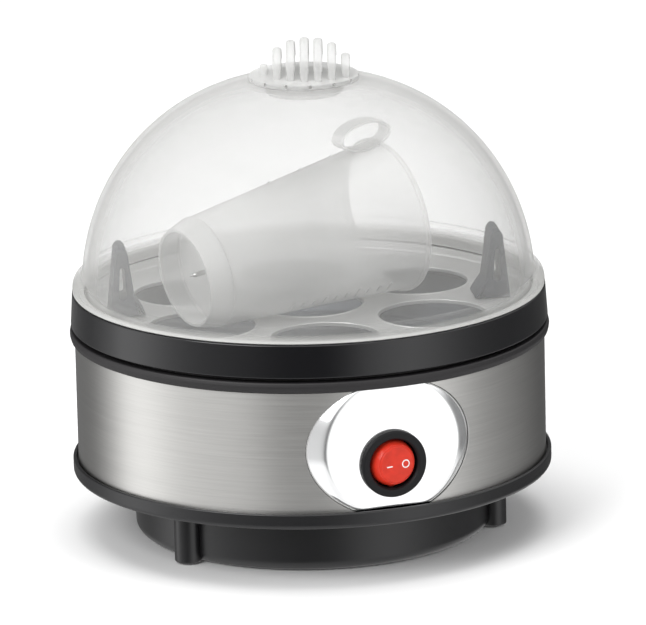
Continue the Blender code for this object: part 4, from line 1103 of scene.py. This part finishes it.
@dataclass
class RockerSwitch:
    """Round rocker switch: satin housing and bezel, tinted rocker with raised marks, and its trunnion."""

    tilt: float = 9.0
    ball: float = 0.0085
    rise: float = 0.0052
    back: float = 0.0030
    body: float = 0.0102
    well: float = 0.0089
    pivot: float = 0.0816
    trunnion: float = 0.0012
    trunnion_half: float = 0.0094

    def __post_init__(self) -> None:
        """Reads the housing's place from the frame."""
        self.low, self.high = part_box("switch_housing")
        self.height = (self.low.z + self.high.z) / 2
        self.face = -self.low.y
        self.rear = -self.high.y
        self.bezel = (self.high.x - self.low.x) / 2 - 0.5 * MM

    def housing(self) -> Shape:
        """The housing and bezel, turned: a rounded outer edge, a flat land and a bevel down to the rocker.

        Returns:
            The housing, on the switch's axis.
        """
        seat, floor = self.face - 1.8 * MM, self.rear + 1.3 * MM
        return lathe(rounded([
            (0, self.rear), (self.body, self.rear, 0.5 * MM), (self.body, seat), (self.bezel, seat, 0.2 * MM),
            (self.bezel, self.face, 0.9 * MM), (self.well + 0.6 * MM, self.face, 0.35 * MM),
            (self.well, self.face - 0.9 * MM, 0.3 * MM), (self.well, floor), (0, floor)],
            6), 128).placed(facing_front(self.height))

    def rocker(self) -> Shape:
        """The rocker: a ball cut off flat behind and in front, its face dished a little, on a crosswise pin.

        Returns:
            The rocker about its pivot, facing +Z.
        """
        low_angle, high_angle = -math.asin(self.back / self.ball), math.asin(self.rise / self.ball)
        turns = np.linspace(low_angle, high_angle - 0.07, 24)
        side = np.column_stack([self.ball * np.cos(turns), self.ball * np.sin(turns)])
        face = self.ball * math.cos(high_angle)
        bead = np.linspace(0.15, math.pi / 2, 8)
        rim = np.column_stack([face - 0.55 * MM + 0.55 * MM * np.cos(bead),
                               self.rise - 0.5 * MM + 0.5 * MM * np.sin(bead)])
        dish = np.linspace(1, 0, 14)[1:]
        floor = np.column_stack([(face - 0.6 * MM) * dish, self.rise - 0.22 * MM * (1 - dish ** 2)])
        body = lathe(np.vstack([[(0, -self.back)], side, rim, floor]), 112)
        radius, half = self.trunnion, self.trunnion_half
        pin = lathe(rounded([
            (0, -half), (radius, -half, 0.2 * MM), (radius, half, 0.2 * MM), (0, half)], 3), 32)
        return body + pin.placed(Matrix.Rotation(math.pi / 2, 4, "X"))

    def mark(self, mark: Mark) -> Shape:
        """One raised mark on the face: a short bar, or a ring turned from a small rounded strip.

        Args:
            mark: which of the two.

        Returns:
            The mark, in the rocker's own frame.
        """
        lift = self.rise - 0.20 * MM
        if mark is Mark.ON_BAR:
            size, middle = (2.3 * MM, 0.42 * MM, 0.34 * MM), (mark.value, -0.5 * MM, lift)
            return rounded_block(size, middle, 0.18 * MM, 0.06 * MM)
        inner, outer, low, high = 1.12 * MM, 1.52 * MM, lift - 0.15 * MM, lift + 0.15 * MM
        strip = rounded([(inner, low), (outer, low), (outer, high, 0.08 * MM), (inner, high, 0.08 * MM)], 3)
        return lathe(strip, 72).placed(Matrix.Translation((mark.value, -0.2 * MM, 0)))

    def build(self) -> None:
        """Makes the housing, the rocker and its two marks."""
        tip = facing_front(self.height) @ Matrix.Translation((0, 0, self.pivot)) \
            @ Matrix.Rotation(math.radians(self.tilt), 4, "Y")
        rocker, on_bar, off_ring = (shape.placed(tip) for shape in (
            self.rocker(), self.mark(Mark.ON_BAR), self.mark(Mark.OFF_RING)))
        piece("switch_bezel", self.housing(), Skin.SWITCH_BLACK, "base", ["switch_housing"])
        piece("red_rocker", rocker, Skin.SWITCH_RED, "rocker", ["switch_rocker"])
        piece("mark_on", on_bar, Skin.MARK_INK, "rocker")
        piece("mark_off", off_ring, Skin.MARK_INK, "rocker")


# ---------------------------------------------------------------- tray

@dataclass
class EggTray:
    """The pressed tray with seven egg holes and two upright handles."""

    thick: float = 0.0011
    hole: float = 0.0194
    hole_ring: float = 0.0482
    hole_start: float = -103.0
    bead_inset: float = 0.00055
    handle_angles: dict[str, float] = field(default_factory=lambda: {"left": 167.0, "right": -13.0})
    handle_ring: float = 0.0680
    handle_height: float = 0.0250
    handle_half: float = 0.0075
    handle_round: float = 0.0006
    slot_low: float = 0.0062
    slot_high: float = 0.0180
    peg_radius: float = 0.0020

    def __post_init__(self) -> None:
        """Reads the tray's size and height from the frame."""
        self.low, self.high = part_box("egg_tray")
        self.radius = self.high.x
        self.top = self.low.z + self.thick

    def sheet(self) -> Shape:
        """The tray without its holes, turned: a flat web and an upright rolled rim.

        Returns:
            The sheet.
        """
        low, high, radius, inside = self.low.z, self.high.z, self.radius, self.radius - 1.0 * MM
        return lathe(rounded([
            (0, low), (radius, low, 0.7 * MM), (radius, high, 0.45 * MM), (inside, high, 0.45 * MM),
            (inside, self.top, 0.9 * MM), (0, self.top)], 5))

    def holes(self) -> Array:
        """Centres of the seven holes: one in the middle and six round it.

        Returns:
            (7, 2) places.
        """
        angles = np.radians(self.hole_start + 60.0 * np.arange(6))
        ring = np.column_stack([self.hole_ring * np.cos(angles), self.hole_ring * np.sin(angles)])
        return np.vstack([[(0.0, 0.0)], ring])

    def hole_lips(self) -> Shape:
        """A low rounded bead pressed up round each hole: an ellipse turned about the hole's axis.

        Returns:
            The seven beads.
        """
        turn = np.linspace(0, TAU, 12, endpoint=False)
        outline = np.column_stack([self.hole + self.bead_inset + 0.5 * MM * np.cos(turn),
                                   self.top + 0.02 * MM + 0.28 * MM * np.sin(turn)])
        ring = lathe(outline, 96)
        return joined(ring.placed(Matrix.Translation((x, y, 0))) for x, y in self.holes())

    def handle(self) -> Shape:
        """One handle, its length along Y: a tapered upright with a flared inner foot and a narrow slot.

        The outline and the slot are both read as a distance from the slot's middle for each angle, so that a
        ring of faces joins them; the ring is carried along Y and drawn in at both ends by a quarter circle.

        Returns:
            The handle, standing on z = 0.
        """
        foot, top_half, flare, tall = 4.6 * MM, 2.1 * MM, 3.6 * MM, self.handle_height
        outline = rounded([
            (-foot - flare, 0, 0.2 * MM), (-foot - flare, 0.5 * MM, 0.2 * MM),
            (-foot - 1.6 * MM, 0.9 * MM, 1.6 * MM), (-foot - 0.1 * MM, 3.6 * MM, 3.0 * MM),
            (-top_half, tall - 1.6 * MM, 1.2 * MM), (-0.9 * MM, tall, 1.0 * MM), (0.9 * MM, tall, 1.0 * MM),
            (top_half, tall - 1.6 * MM, 1.2 * MM), (foot, 0, 0.3 * MM)], 6)
        slot = rounded([(-1.5 * MM, self.slot_low, 1.2 * MM), (1.5 * MM, self.slot_low, 1.2 * MM),
                        (0.75 * MM, self.slot_high, 0.6 * MM), (-0.75 * MM, self.slot_high, 0.6 * MM)], 6)
        centre = np.array([0.0, 11.5 * MM])
        angles = np.linspace(-math.pi, math.pi, 360, endpoint=False)

        def reach(line: Array) -> Array:
            """The line's distance from the centre at each angle, by measuring along it finely.

            Args:
                line: (n, 2) points of a closed outline.

            Returns:
                One distance for each angle.
            """
            closed = np.vstack([line, line[:1]])
            steps = np.linspace(0, 1, 24, endpoint=False)[None, :, None]
            fine = (closed[:-1, None] * (1 - steps) + closed[1:, None] * steps).reshape(-1, 2) - centre
            turn = np.arctan2(fine[:, 1], fine[:, 0])
            order = np.argsort(turn)
            return np.interp(angles, turn[order], np.linalg.norm(fine, axis=1)[order], period=TAU)

        outer, inner = reach(outline), reach(slot)
        ray = np.stack([np.cos(angles), np.sin(angles)], axis=1)
        quarter = np.linspace(0, math.pi / 2, 5)
        inset = self.handle_round * (1 - np.cos(quarter))
        depth = self.handle_half - self.handle_round * (1 - np.sin(quarter))
        rows = [(outer - i, d) for i, d in zip(inset, depth)]
        rows += [(inner + i, d) for i, d in zip(inset[::-1], depth[::-1])]
        rows += [(r, -d) for r, d in rows[::-1]]
        loops = [np.column_stack([centre[0] + ray[:, 0] * r, np.full(len(r), d), centre[1] + ray[:, 1] * r])
                 for r, d in rows]
        return grid(np.array(loops), wrap_u=True, wrap_v=True)

    def peg(self) -> Shape:
        """The barbed peg under a handle that snaps into the tray.

        Returns:
            The peg, hanging from z = 0.
        """
        radius = self.peg_radius
        return lathe(rounded([
            (0, -2.7 * MM), (radius, -2.7 * MM, 0.3 * MM), (radius + 0.8 * MM, -1.75 * MM, 0.2 * MM),
            (radius, -1.7 * MM), (radius, 0.3 * MM), (0, 0.3 * MM)], 3), 40)

    def build(self) -> None:
        """Makes the tray, its hole beads and both handles with their snap pegs."""
        tray = piece("pressed_tray", self.sheet(), Skin.TRAY_METAL, "tray", ["egg_tray"])
        drilled(tray, rods(self.holes(), self.hole, self.low.z - 4 * MM, self.high.z + 4 * MM, 112))
        piece("tray_hole_beads", self.hole_lips(), Skin.TRAY_METAL, "tray")
        handle = self.handle() + self.peg()
        for side, angle in self.handle_angles.items():
            place = on_ring(self.handle_ring, angle, self.top + GAP) \
                @ Matrix.Rotation(math.radians(angle), 4, "Z")
            piece(f"lifting_handle_{side}", handle.placed(place), Skin.HANDLE_BLACK, "tray",
                  [f"tray_handle_{side}"])


# ---------------------------------------------------------------- lid

@dataclass
class LidDome:
    """The frosted dome: rolled flange, full shoulder, egg-shaped crown and a seat round the vent."""

    wall: float = 0.0015
    height: float = 0.0780
    power: float = 2.2
    inset: float = 0.0031
    shoulder: float = 0.0058
    flange_thick: float = 0.0016
    spigot_wall: float = 0.0013
    seat: float = 0.0204
    vent: float = 0.0136

    def __post_init__(self) -> None:
        """Reads the lid's size from the frame."""
        self.low, self.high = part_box("lid_dome")
        self.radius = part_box("steel_band")[1].x - self.inset
        self.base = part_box("upper_ring")[1].z
        self.flange = self.high.x

    def crown(self, radius: float, height: float, count: int) -> Array:
        """The dome's outline: r = R (cos^2 a)^(1/p) and z = base + H sin a, up to the vent's seat.

        Args:
            radius: R, its widest radius.
            height: H, its rise.
            count: how many points.

        Returns:
            (count, 2) radii and heights.
        """
        top = math.asin(math.sqrt(1 - (self.seat / radius) ** self.power))
        angle = np.linspace(0, top, count)
        away = radius * (np.cos(angle) ** 2) ** (1 / self.power)
        return np.column_stack([away, self.base + height * np.sin(angle)])

    def shell(self) -> Shape:
        """The whole lid, turned from one closed outline: lip, quarter-ellipse shoulder, crown and inside.

        Returns:
            The lid.
        """
        bottom = self.base + GAP
        flange, flange_top = self.flange, bottom + self.flange_thick
        outside = self.crown(self.radius, self.height, 96)
        outside = outside[outside[:, 1] > bottom + self.shoulder]
        inside = self.crown(self.radius - self.wall, self.height - self.wall, 72)
        inside = inside[inside[:, 1] > flange_top][::-1]
        start, turn = outside[0], np.linspace(0.0, math.pi / 2, 14)[:-1]
        lift = start[1] - 1.0 * MM - flange_top
        shoulder = np.column_stack([start[0] + (flange - start[0]) * np.cos(turn),
                                    flange_top + lift * np.sin(turn)])
        spigot = self.radius - 0.8 * MM
        bore = spigot - self.spigot_wall
        lip = rounded([
            (bore, self.low.z, 0.3 * MM), (spigot, self.low.z, 0.3 * MM), (spigot, bottom, 0.2 * MM),
            (flange, bottom, 0.35 * MM), (flange, flange_top)], 4)
        hole = [(self.vent, outside[-1, 1]), (self.vent, inside[0, 1])]
        return lathe(np.vstack([lip[:-1], shoulder, outside, hole, inside, [(bore, bottom + 0.4 * MM)]]), 288)

    def build(self) -> None:
        """Makes the dome."""
        piece("frosted_dome", self.shell(), Skin.LID_FROSTED, "lid", ["lid_dome"], sharp=40)


@dataclass
class VentKnob:
    """The vent knob: a low cap with upright fins whose tops follow a dome, and small steam holes."""

    fins: int = 7
    pitch: float = 0.0049
    first_fin: float = -0.0143
    fin_thick: float = 0.0025
    fin_foot: float = 0.0005
    bulb: float = 0.0016
    angle: float = -20.4
    crown: float = 0.0170
    crown_shift: float = 0.0015
    below_top: float = 0.0166
    tall: float = 0.0147
    roof: float = 0.0032
    edge: float = 0.0014
    vent: float = 0.0132
    steam_holes: int = 14
    steam_radius: float = 0.00075
    steam_height: float = 0.0010
    steam_turn: float = -1.792

    def __post_init__(self) -> None:
        """Reads the knob's place from the frame."""
        low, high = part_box("vent_knob")
        self.radius = high.x
        self.seat = high.z - self.below_top
        self.bottom = low.z

    def fin_height(self, across: float, along: Array) -> Array:
        """Height of a fin's top: the crown's ellipse, and outside it just under the cap's own surface.

        Args:
            across: how far the fin stands from the knob's middle.
            along: places along the fin.

        Returns:
            Heights above the knob's seat.
        """
        away = np.sqrt((across - self.crown_shift) ** 2 + along ** 2)
        crown = self.tall * np.sqrt(np.clip(1 - (away / self.crown) ** 2, 0, 1))
        return np.maximum(crown, self.cap_height(np.sqrt(across ** 2 + along ** 2)) - 0.3 * MM)

    def cap_height(self, away: Array) -> Array:
        """Height of the cap at a distance from the axis: a low ellipse on a short upright edge."""
        share = np.clip(1 - (away / self.radius) ** 2, 0, 1)
        return self.edge + (self.roof - self.edge) * np.sqrt(share)

    def fin(self, place: float) -> Shape:
        """One fin at a distance from the middle, its length along Y.

        Each section across it is a narrow wall whose top is a half circle, a little fuller than the wall; its
        height is the crown's at that distance from the axis. Near its ends the fin has no fuller top.

        Args:
            place: how far the fin stands from the knob's middle.

        Returns:
            The closed fin, standing on the knob's seat.
        """
        limit = math.sqrt((self.radius - 1.0 * MM) ** 2 - place ** 2)
        along = limit * np.sin(np.linspace(-math.pi / 2, math.pi / 2, 72) * 0.995)
        top, half = self.fin_height(place, along), self.fin_thick / 2
        turn = np.linspace(-0.5, math.pi + 0.5, 15)
        bulb = np.minimum(self.bulb, (top - self.fin_foot) * 0.45)
        side, foot = np.full((len(along), 1), half), np.full((len(along), 1), self.fin_foot)
        across = np.concatenate([side, bulb[:, None] * np.cos(turn)[None], -side], axis=1)
        widest = np.where(top[:, None] > self.roof + 3 * MM, self.bulb, half)
        across = np.sign(across) * np.minimum(np.abs(across), widest)
        cap = (top - 0.6 * bulb)[:, None] + 0.6 * bulb[:, None] * np.sin(turn)[None]
        height = np.concatenate([foot, cap, foot], axis=1)
        rows = np.stack([across + place, np.repeat(along[:, None], across.shape[1], axis=1), height], axis=-1)
        return capped(rows)

    def base(self) -> Shape:
        """The cap with its snap collar, turned: an upright edge, a low crowned roof, hollow inside.

        Returns:
            The cap.
        """
        vent, bore, deep = self.vent, self.vent - 1.2 * MM, self.bottom - self.seat
        away = self.radius * np.sin(np.linspace(math.pi / 2, 0, 28))
        roof = np.column_stack([away, self.cap_height(away)])
        lower = rounded([
            (0, self.roof - 2.0 * MM), (bore, 1.6 * MM, 1.0 * MM), (bore, deep, 0.3 * MM),
            (vent, deep, 0.4 * MM), (vent + 0.9 * MM, deep + 1.2 * MM, 0.3 * MM), (vent, deep + 1.9 * MM),
            (vent, 0), (self.radius - 0.2 * MM, 0), (self.radius, 0.3 * MM)], 5)
        return lathe(np.vstack([lower, roof]), 144)

    def steam_bores(self) -> Shape:
        """Rods that point outwards through the cap's edge, evenly round it.

        Returns:
            What the steam holes take away.
        """
        near, far, radius = 13 * MM, 24 * MM, self.steam_radius
        bore = lathe(np.array([(0, near), (radius, near), (radius, far), (0, far)]), 20)
        turns = [TAU * number / self.steam_holes + self.steam_turn for number in range(self.steam_holes)]
        height = Matrix.Translation((0, 0, self.seat + self.steam_height))
        level = Matrix.Rotation(math.pi / 2, 4, "Y")
        return joined(bore.placed(height @ Matrix.Rotation(turn, 4, "Z") @ level) for turn in turns)

    def build(self) -> None:
        """Makes the cap with its steam holes, and the fins."""
        place = Matrix.Translation((0, 0, self.seat)) @ Matrix.Rotation(math.radians(self.angle), 4, "Z")
        cap = piece("vent_cap", self.base().placed(place), Skin.KNOB_FROSTED, "lid",
                    ["vent_knob"])
        drilled(cap, self.steam_bores())
        for number in range(self.fins):
            fin = self.fin(self.first_fin + number * self.pitch)
            piece(f"vent_fin_{number + 1}", fin.placed(place), Skin.KNOB_FROSTED, "lid",
                  sharp=50)


# ---------------------------------------------------------------- measuring cup

@dataclass(frozen=True)
class Ladder:
    """A row of graduation bars up the cup: its angle round the cup, first bar, count and spacing."""

    angle: float
    first: float
    count: int
    spacing: float


@dataclass
class MeasuringCup:
    """The measuring cup that lies on the tray: hollow foot with a pin, tapered body, beaded mouth, loop."""

    length: float = 0.0870
    base: float = 0.0180
    step: float = 0.0206
    step_at: float = 0.0080
    mouth: float = 0.0276
    bead: float = 0.0011
    bead_long: float = 0.0018
    wall: float = 0.0012
    place: tuple[float, float] = (-0.0518, -0.0139)
    heading: float = 11.7
    loop_at: float = 0.0800
    loop_width: float = 0.0072
    loop_half: float = 0.0108
    loop_rise: float = 0.0112
    strap_half: float = 0.0005
    pin_length: float = 0.0066
    pin_radius: float = 0.0009
    ladders: tuple[Ladder, ...] = (
        Ladder(-34.0, 0.046, 8, 0.0046), Ladder(-104.0, 0.030, 11, 0.0044), Ladder(140.0, 0.034, 10, 0.0044))

    def frame(self) -> Matrix:
        """The cup's own frame: Z along its axis from the small end, X up, lying on the tray.

        Returns:
            What carries the cup to its place.
        """
        lean = math.atan((self.mouth + self.bead - self.base) / (self.length - self.bead_long))
        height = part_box("egg_tray")[0].z + EggTray.thick + GAP + self.base * math.cos(lean)
        heading = Matrix.Rotation(math.radians(self.heading), 4, "Z")
        return (Matrix.Translation((*self.place, height)) @ heading
                @ Matrix.Rotation(math.pi / 2 - lean, 4, "Y") @ Matrix.Rotation(math.pi, 4, "Z"))

    def radius_at(self, along: float) -> float:
        """Outer radius of the tapered wall: straight from the step to the mouth."""
        share = (along - self.step_at) / (self.length - self.bead_long - self.step_at)
        return self.step - 0.3 * MM + (self.mouth - self.step + 0.3 * MM) * share

    def body(self) -> Shape:
        """The cup, turned from one closed outline.

        Returns:
            The cup's body, in its own frame.
        """
        floor, under = self.step_at + 2 * self.wall, self.step_at + self.wall
        bead_start = self.length - self.bead_long
        mouth, rim = self.mouth, self.mouth + self.bead
        outside = [(self.base, 0, 0.4 * MM), (self.step, self.step_at, 0.5 * MM),
                   (self.step - 0.3 * MM, self.step_at + 0.5 * MM), (mouth, bead_start, 0.3 * MM),
                   (rim, bead_start + 0.1 * MM, 0.5 * MM), (rim, self.length, 0.7 * MM)]
        inside = [(mouth - self.wall, self.length, 0.5 * MM),
                  (self.radius_at(floor) - self.wall, floor, 1.6 * MM), (0, floor)]
        foot = [(0, under), (self.step - 1.5 * self.wall, under, 0.8 * MM),
                (self.base - self.wall, 0, 0.3 * MM)]
        return lathe(rounded(outside + inside + foot, 6), 160)

    def loop(self) -> Shape:
        """The strap handle near the mouth: an oval strip standing on the wall, its opening across the cup.

        The strip's middle line is x = r + h/2 + (h/2) cos a, z = m + s sin a; a rounded strip section is
        carried round it, its width across the cup.

        Returns:
            The closed loop, in the cup's frame.
        """
        middle = self.radius_at(self.loop_at) + self.loop_rise / 2 - 0.5 * MM
        turn = np.linspace(0, TAU, 112, endpoint=False)
        thick, wide = self.strap_half, self.loop_width / 2
        strip = rounded([(x, y, 0.35 * MM) for x, y in (
            (thick, wide), (-thick, wide), (-thick, -wide), (thick, -wide))], 4)
        half_x, half_z = self.loop_rise / 2 - 0.7 * MM, self.loop_half - 0.7 * MM
        x = middle + (half_x + strip[None, :, 0]) * np.cos(turn)[:, None]
        z = self.loop_at + (half_z + strip[None, :, 0]) * np.sin(turn)[:, None]
        y = np.repeat(strip[None, :, 1], len(turn), axis=0)
        return grid(np.stack([x, y, z], axis=-1), wrap_u=True, wrap_v=True)

    def ticks(self) -> Shape:
        """Raised graduation marks: ladders of short bars on the wall, every third one longer.

        Returns:
            All the bars, in the cup's frame.
        """
        bars = []
        for ladder in self.ladders:
            around = Matrix.Rotation(math.radians(ladder.angle), 4, "Z")
            for number in range(ladder.count):
                along = ladder.first + number * ladder.spacing
                span = 6.0 * MM if number % 3 == 0 else 3.4 * MM
                bar = rounded_block((0.45 * MM, span, 0.95 * MM), (0, 0, 0), 0.18 * MM, 0.15 * MM)
                out = Matrix.Translation((self.radius_at(along) + 0.08 * MM, 0, along))
                bars.append(bar.placed(around @ out))
        return joined(bars)

    def pin(self) -> Shape:
        """The egg-piercing pin: a short pointed rod under the cup's floor.

        Returns:
            The pin, in the cup's frame.
        """
        top, radius = self.step_at + self.wall - GAP, self.pin_radius
        return lathe(rounded([
            (0, top - self.pin_length), (radius, top - self.pin_length + 2.4 * MM, 0.5 * MM), (radius, top),
            (0, top)], 4), 32)

    def build(self) -> None:
        """Makes the cup, its loop, its ticks and the piercing pin."""
        body, loop, ticks, pin = (shape.placed(self.frame()) for shape in (
            self.body(), self.loop(), self.ticks(), self.pin()))
        piece("cup_body", body, Skin.CUP_FROSTED, "cup", ["measuring_cup"])
        piece("cup_strap", loop, Skin.CUP_FROSTED, "cup", sharp=50)
        piece("cup_ticks", ticks, Skin.CUP_FROSTED, "cup", sharp=50)
        piece("egg_pin", pin, Skin.PIN_STEEL, "cup", ["piercing_pin"])


# ---------------------------------------------------------------- studio

@dataclass
class Studio:
    """Pale floor, soft light and the camera.

    The three tables give the room's brightness by the angle round the object: level with it, above and below.
    """

    elevation: float = 14.70
    azimuth: float = -19.7
    roll: float = 1.297
    distance: float = 2.3903
    aim: float = 0.07857
    aside: float = 0.0050
    lens: float = 368.2
    floor_radius: float = 14.0
    ambient: float = 0.44
    around: tuple[tuple[float, float], ...] = (
        (-180, 0.22), (-165, 0.22), (-150, 0.26), (-140, 0.50), (-130, 0.95), (-121, 1.75), (-110, 1.95),
        (-100, 1.65), (-90, 1.2), (-80, 0.85), (-70, 0.62), (-60, 0.48), (-50, 0.36), (-40, 0.20),
        (-30, 0.10), (-12, 0.08), (-2, 0.40), (6, 0.90), (14, 1.25), (22, 1.5), (30, 1.6), (40, 1.35),
        (50, 0.95), (60, 0.62), (70, 0.40), (80, 0.28), (90, 0.21), (110, 0.15), (135, 0.11), (180, 0.22))
    above: tuple[tuple[float, float], ...] = (
        (-180, 0.06), (-165, 0.08), (-150, 0.20), (-130, 1.05), (-112, 1.8), (-90, 1.45), (-70, 0.95),
        (-50, 1.25), (-30, 1.8), (-5, 1.9), (20, 1.5), (45, 1.45), (70, 1.6), (90, 1.6), (110, 0.95),
        (130, 0.75), (150, 0.3), (180, 0.06))
    below: tuple[tuple[float, float], ...] = (
        (-180, 0.4), (-130, 0.9), (-90, 1.2), (-40, 1.0), (20, 1.1), (90, 0.95), (130, 0.8), (180, 0.4))

    def camera(self) -> None:
        """The camera: a long lens, a little above the object and to the left of the switch."""
        turn = math.radians(self.azimuth)
        rise = math.radians(self.elevation)
        right = Vector((math.cos(turn), math.sin(turn), 0))
        back = Vector((math.sin(turn), -math.cos(turn), 0))
        spot = right * self.aside + back * (self.distance * math.cos(rise))
        spot.z = self.aim + self.distance * math.sin(rise)
        data = bpy.data.cameras.new("camera")
        data.lens = self.lens
        data.sensor_width = 36
        data.sensor_fit = "HORIZONTAL"
        made = bpy.data.objects.new("camera", data)
        made.matrix_world = (Matrix.Translation(spot) @ Matrix.Rotation(turn, 4, "Z")
                             @ Matrix.Rotation(math.pi / 2 - rise, 4, "X")
                             @ Matrix.Rotation(-math.radians(self.roll), 4, "Z"))
        bpy.context.scene.collection.objects.link(made)
        bpy.context.scene.camera = made

    def floor(self) -> None:
        """A wide pale floor, a thin disc whose top is at 0, hidden from mirror-like reflections.

        Far from the object, where the lights no longer reach, it glows a little and so stays pale.
        """
        wide, thick = self.floor_radius, 0.01
        disc = lathe(np.array([(0, -thick), (wide, -thick), (wide, 0.0), (0, 0.0)]), 96)
        mesh = bpy.data.meshes.new("floor")
        mesh.from_pydata(disc.points.tolist(), [], disc.faces.tolist())
        material = bpy.data.materials.new("floor")
        material.use_nodes = True
        bench = Bench(material.node_tree)
        cloud = bench.noise(bench.place(), 6.0, 2.0, 0.5)
        away = bench.out("ShaderNodeVectorMath", {"operation": "LENGTH"}, {0: bench.place()}, "Value")
        far = bench.step(away, 1.0, 4.5)
        bench.surface({"Base Color": bench.blend(cloud, grey(0.93), grey(0.95)),
                       "Emission Color": bench.blend(far, grey(0.0), grey(0.62)),
                       "Emission Strength": 1.0, "Roughness": 0.9, "Specular IOR Level": 0.1})
        mesh.materials.append(material)
        made = bpy.data.objects.new("floor", mesh)
        made.visible_glossy = False
        bpy.context.scene.collection.objects.link(made)

    def light(self, name: str, spot: Sequence[float], size: float, power: float, seen: bool = False) -> None:
        """One soft square light that faces the object.

        Args:
            name: the light's name.
            spot: where it stands.
            size: its side.
            power: its power in watts.
            seen: whether mirror-like surfaces reflect it.
        """
        data = bpy.data.lights.new(name, "AREA")
        data.size = size
        data.energy = power
        made = bpy.data.objects.new(name, data)
        aim = Vector((0, 0, 0.08)) - Vector(spot)
        made.matrix_world = Matrix.Translation(spot) @ aim.to_track_quat("-Z", "Y").to_matrix().to_4x4()
        made.visible_glossy = seen
        bpy.context.scene.collection.objects.link(made)

    def surroundings(self) -> None:
        """The soft room seen in the metal, plain white where it is looked at straight."""
        world = bpy.data.worlds.new("room")
        bpy.context.scene.world = world
        world.use_nodes = True
        bench = Bench(world.node_tree)
        x, y, z = bench.parts(bench.out("ShaderNodeTexCoord", output="Generated"))
        turn = x.turned_from(y * -1.0) / TAU + 0.5

        def ramp(stops: Sequence[tuple[float, float]], scale: float) -> Signal:
            """Brightness round the object.

            Args:
                stops: (degrees, brightness) pairs.
                scale: the highest brightness that the ramp can hold.

            Returns:
                The brightness in the direction looked at.
            """
            placed = [((degrees + 180) / 360, value / scale) for degrees, value in stops]
            made = bench.out("ShaderNodeValToRGB", {"stops": placed}, {0: turn})
            return bench.out("ShaderNodeRGBToBW", None, {0: made}) * scale

        high = bench.step(z, 0.10, 0.55)
        low = 1.0 - bench.step(z, -0.48, -0.32)
        sight = (ramp(self.around, 2.0) * (1.0 - high) + ramp(self.above, 2.0) * high) * (1.0 - low) \
            + ramp(self.below, 1.2) * low
        path = bench.node("ShaderNodeLightPath")
        mirror, straight = (Signal(bench, path.outputs[name]) for name in ("Is Glossy Ray", "Is Camera Ray"))
        strength = sight * mirror + self.ambient * (1.0 - mirror) + straight * (1.0 - self.ambient)
        glow = bench.out("ShaderNodeBackground", None, {"Color": grey(1.0), "Strength": strength})
        bench.node("ShaderNodeOutputWorld", None, {"Surface": glow})

    def build(self) -> None:
        """Sets up floor, light and camera."""
        self.floor()
        self.surroundings()
        self.light("soft_key", (-1.7, -0.9, 1.4), 1.4, 34, seen=True)
        self.light("soft_fill", (1.4, -1.5, 1.2), 1.6, 13)
        self.light("soft_top", (0.0, 0.2, 2.2), 1.8, 34)
        self.camera()
        bpy.context.scene.view_settings.view_transform = "Standard"


def main() -> None:
    """Builds every sub-assembly in order."""
    logging.basicConfig(level=logging.INFO, format="%(name)s: %(message)s")
    Studio().build()
    for part in (BaseShell(), BandAndRings(), HeatingPlate(), SwitchPlate(), RockerSwitch(), EggTray(),
                 LidDome(), VentKnob(), MeasuringCup()):
        LOG.info("building %s", type(part).__name__)
        part.build()


if __name__ == "__main__":
    main()
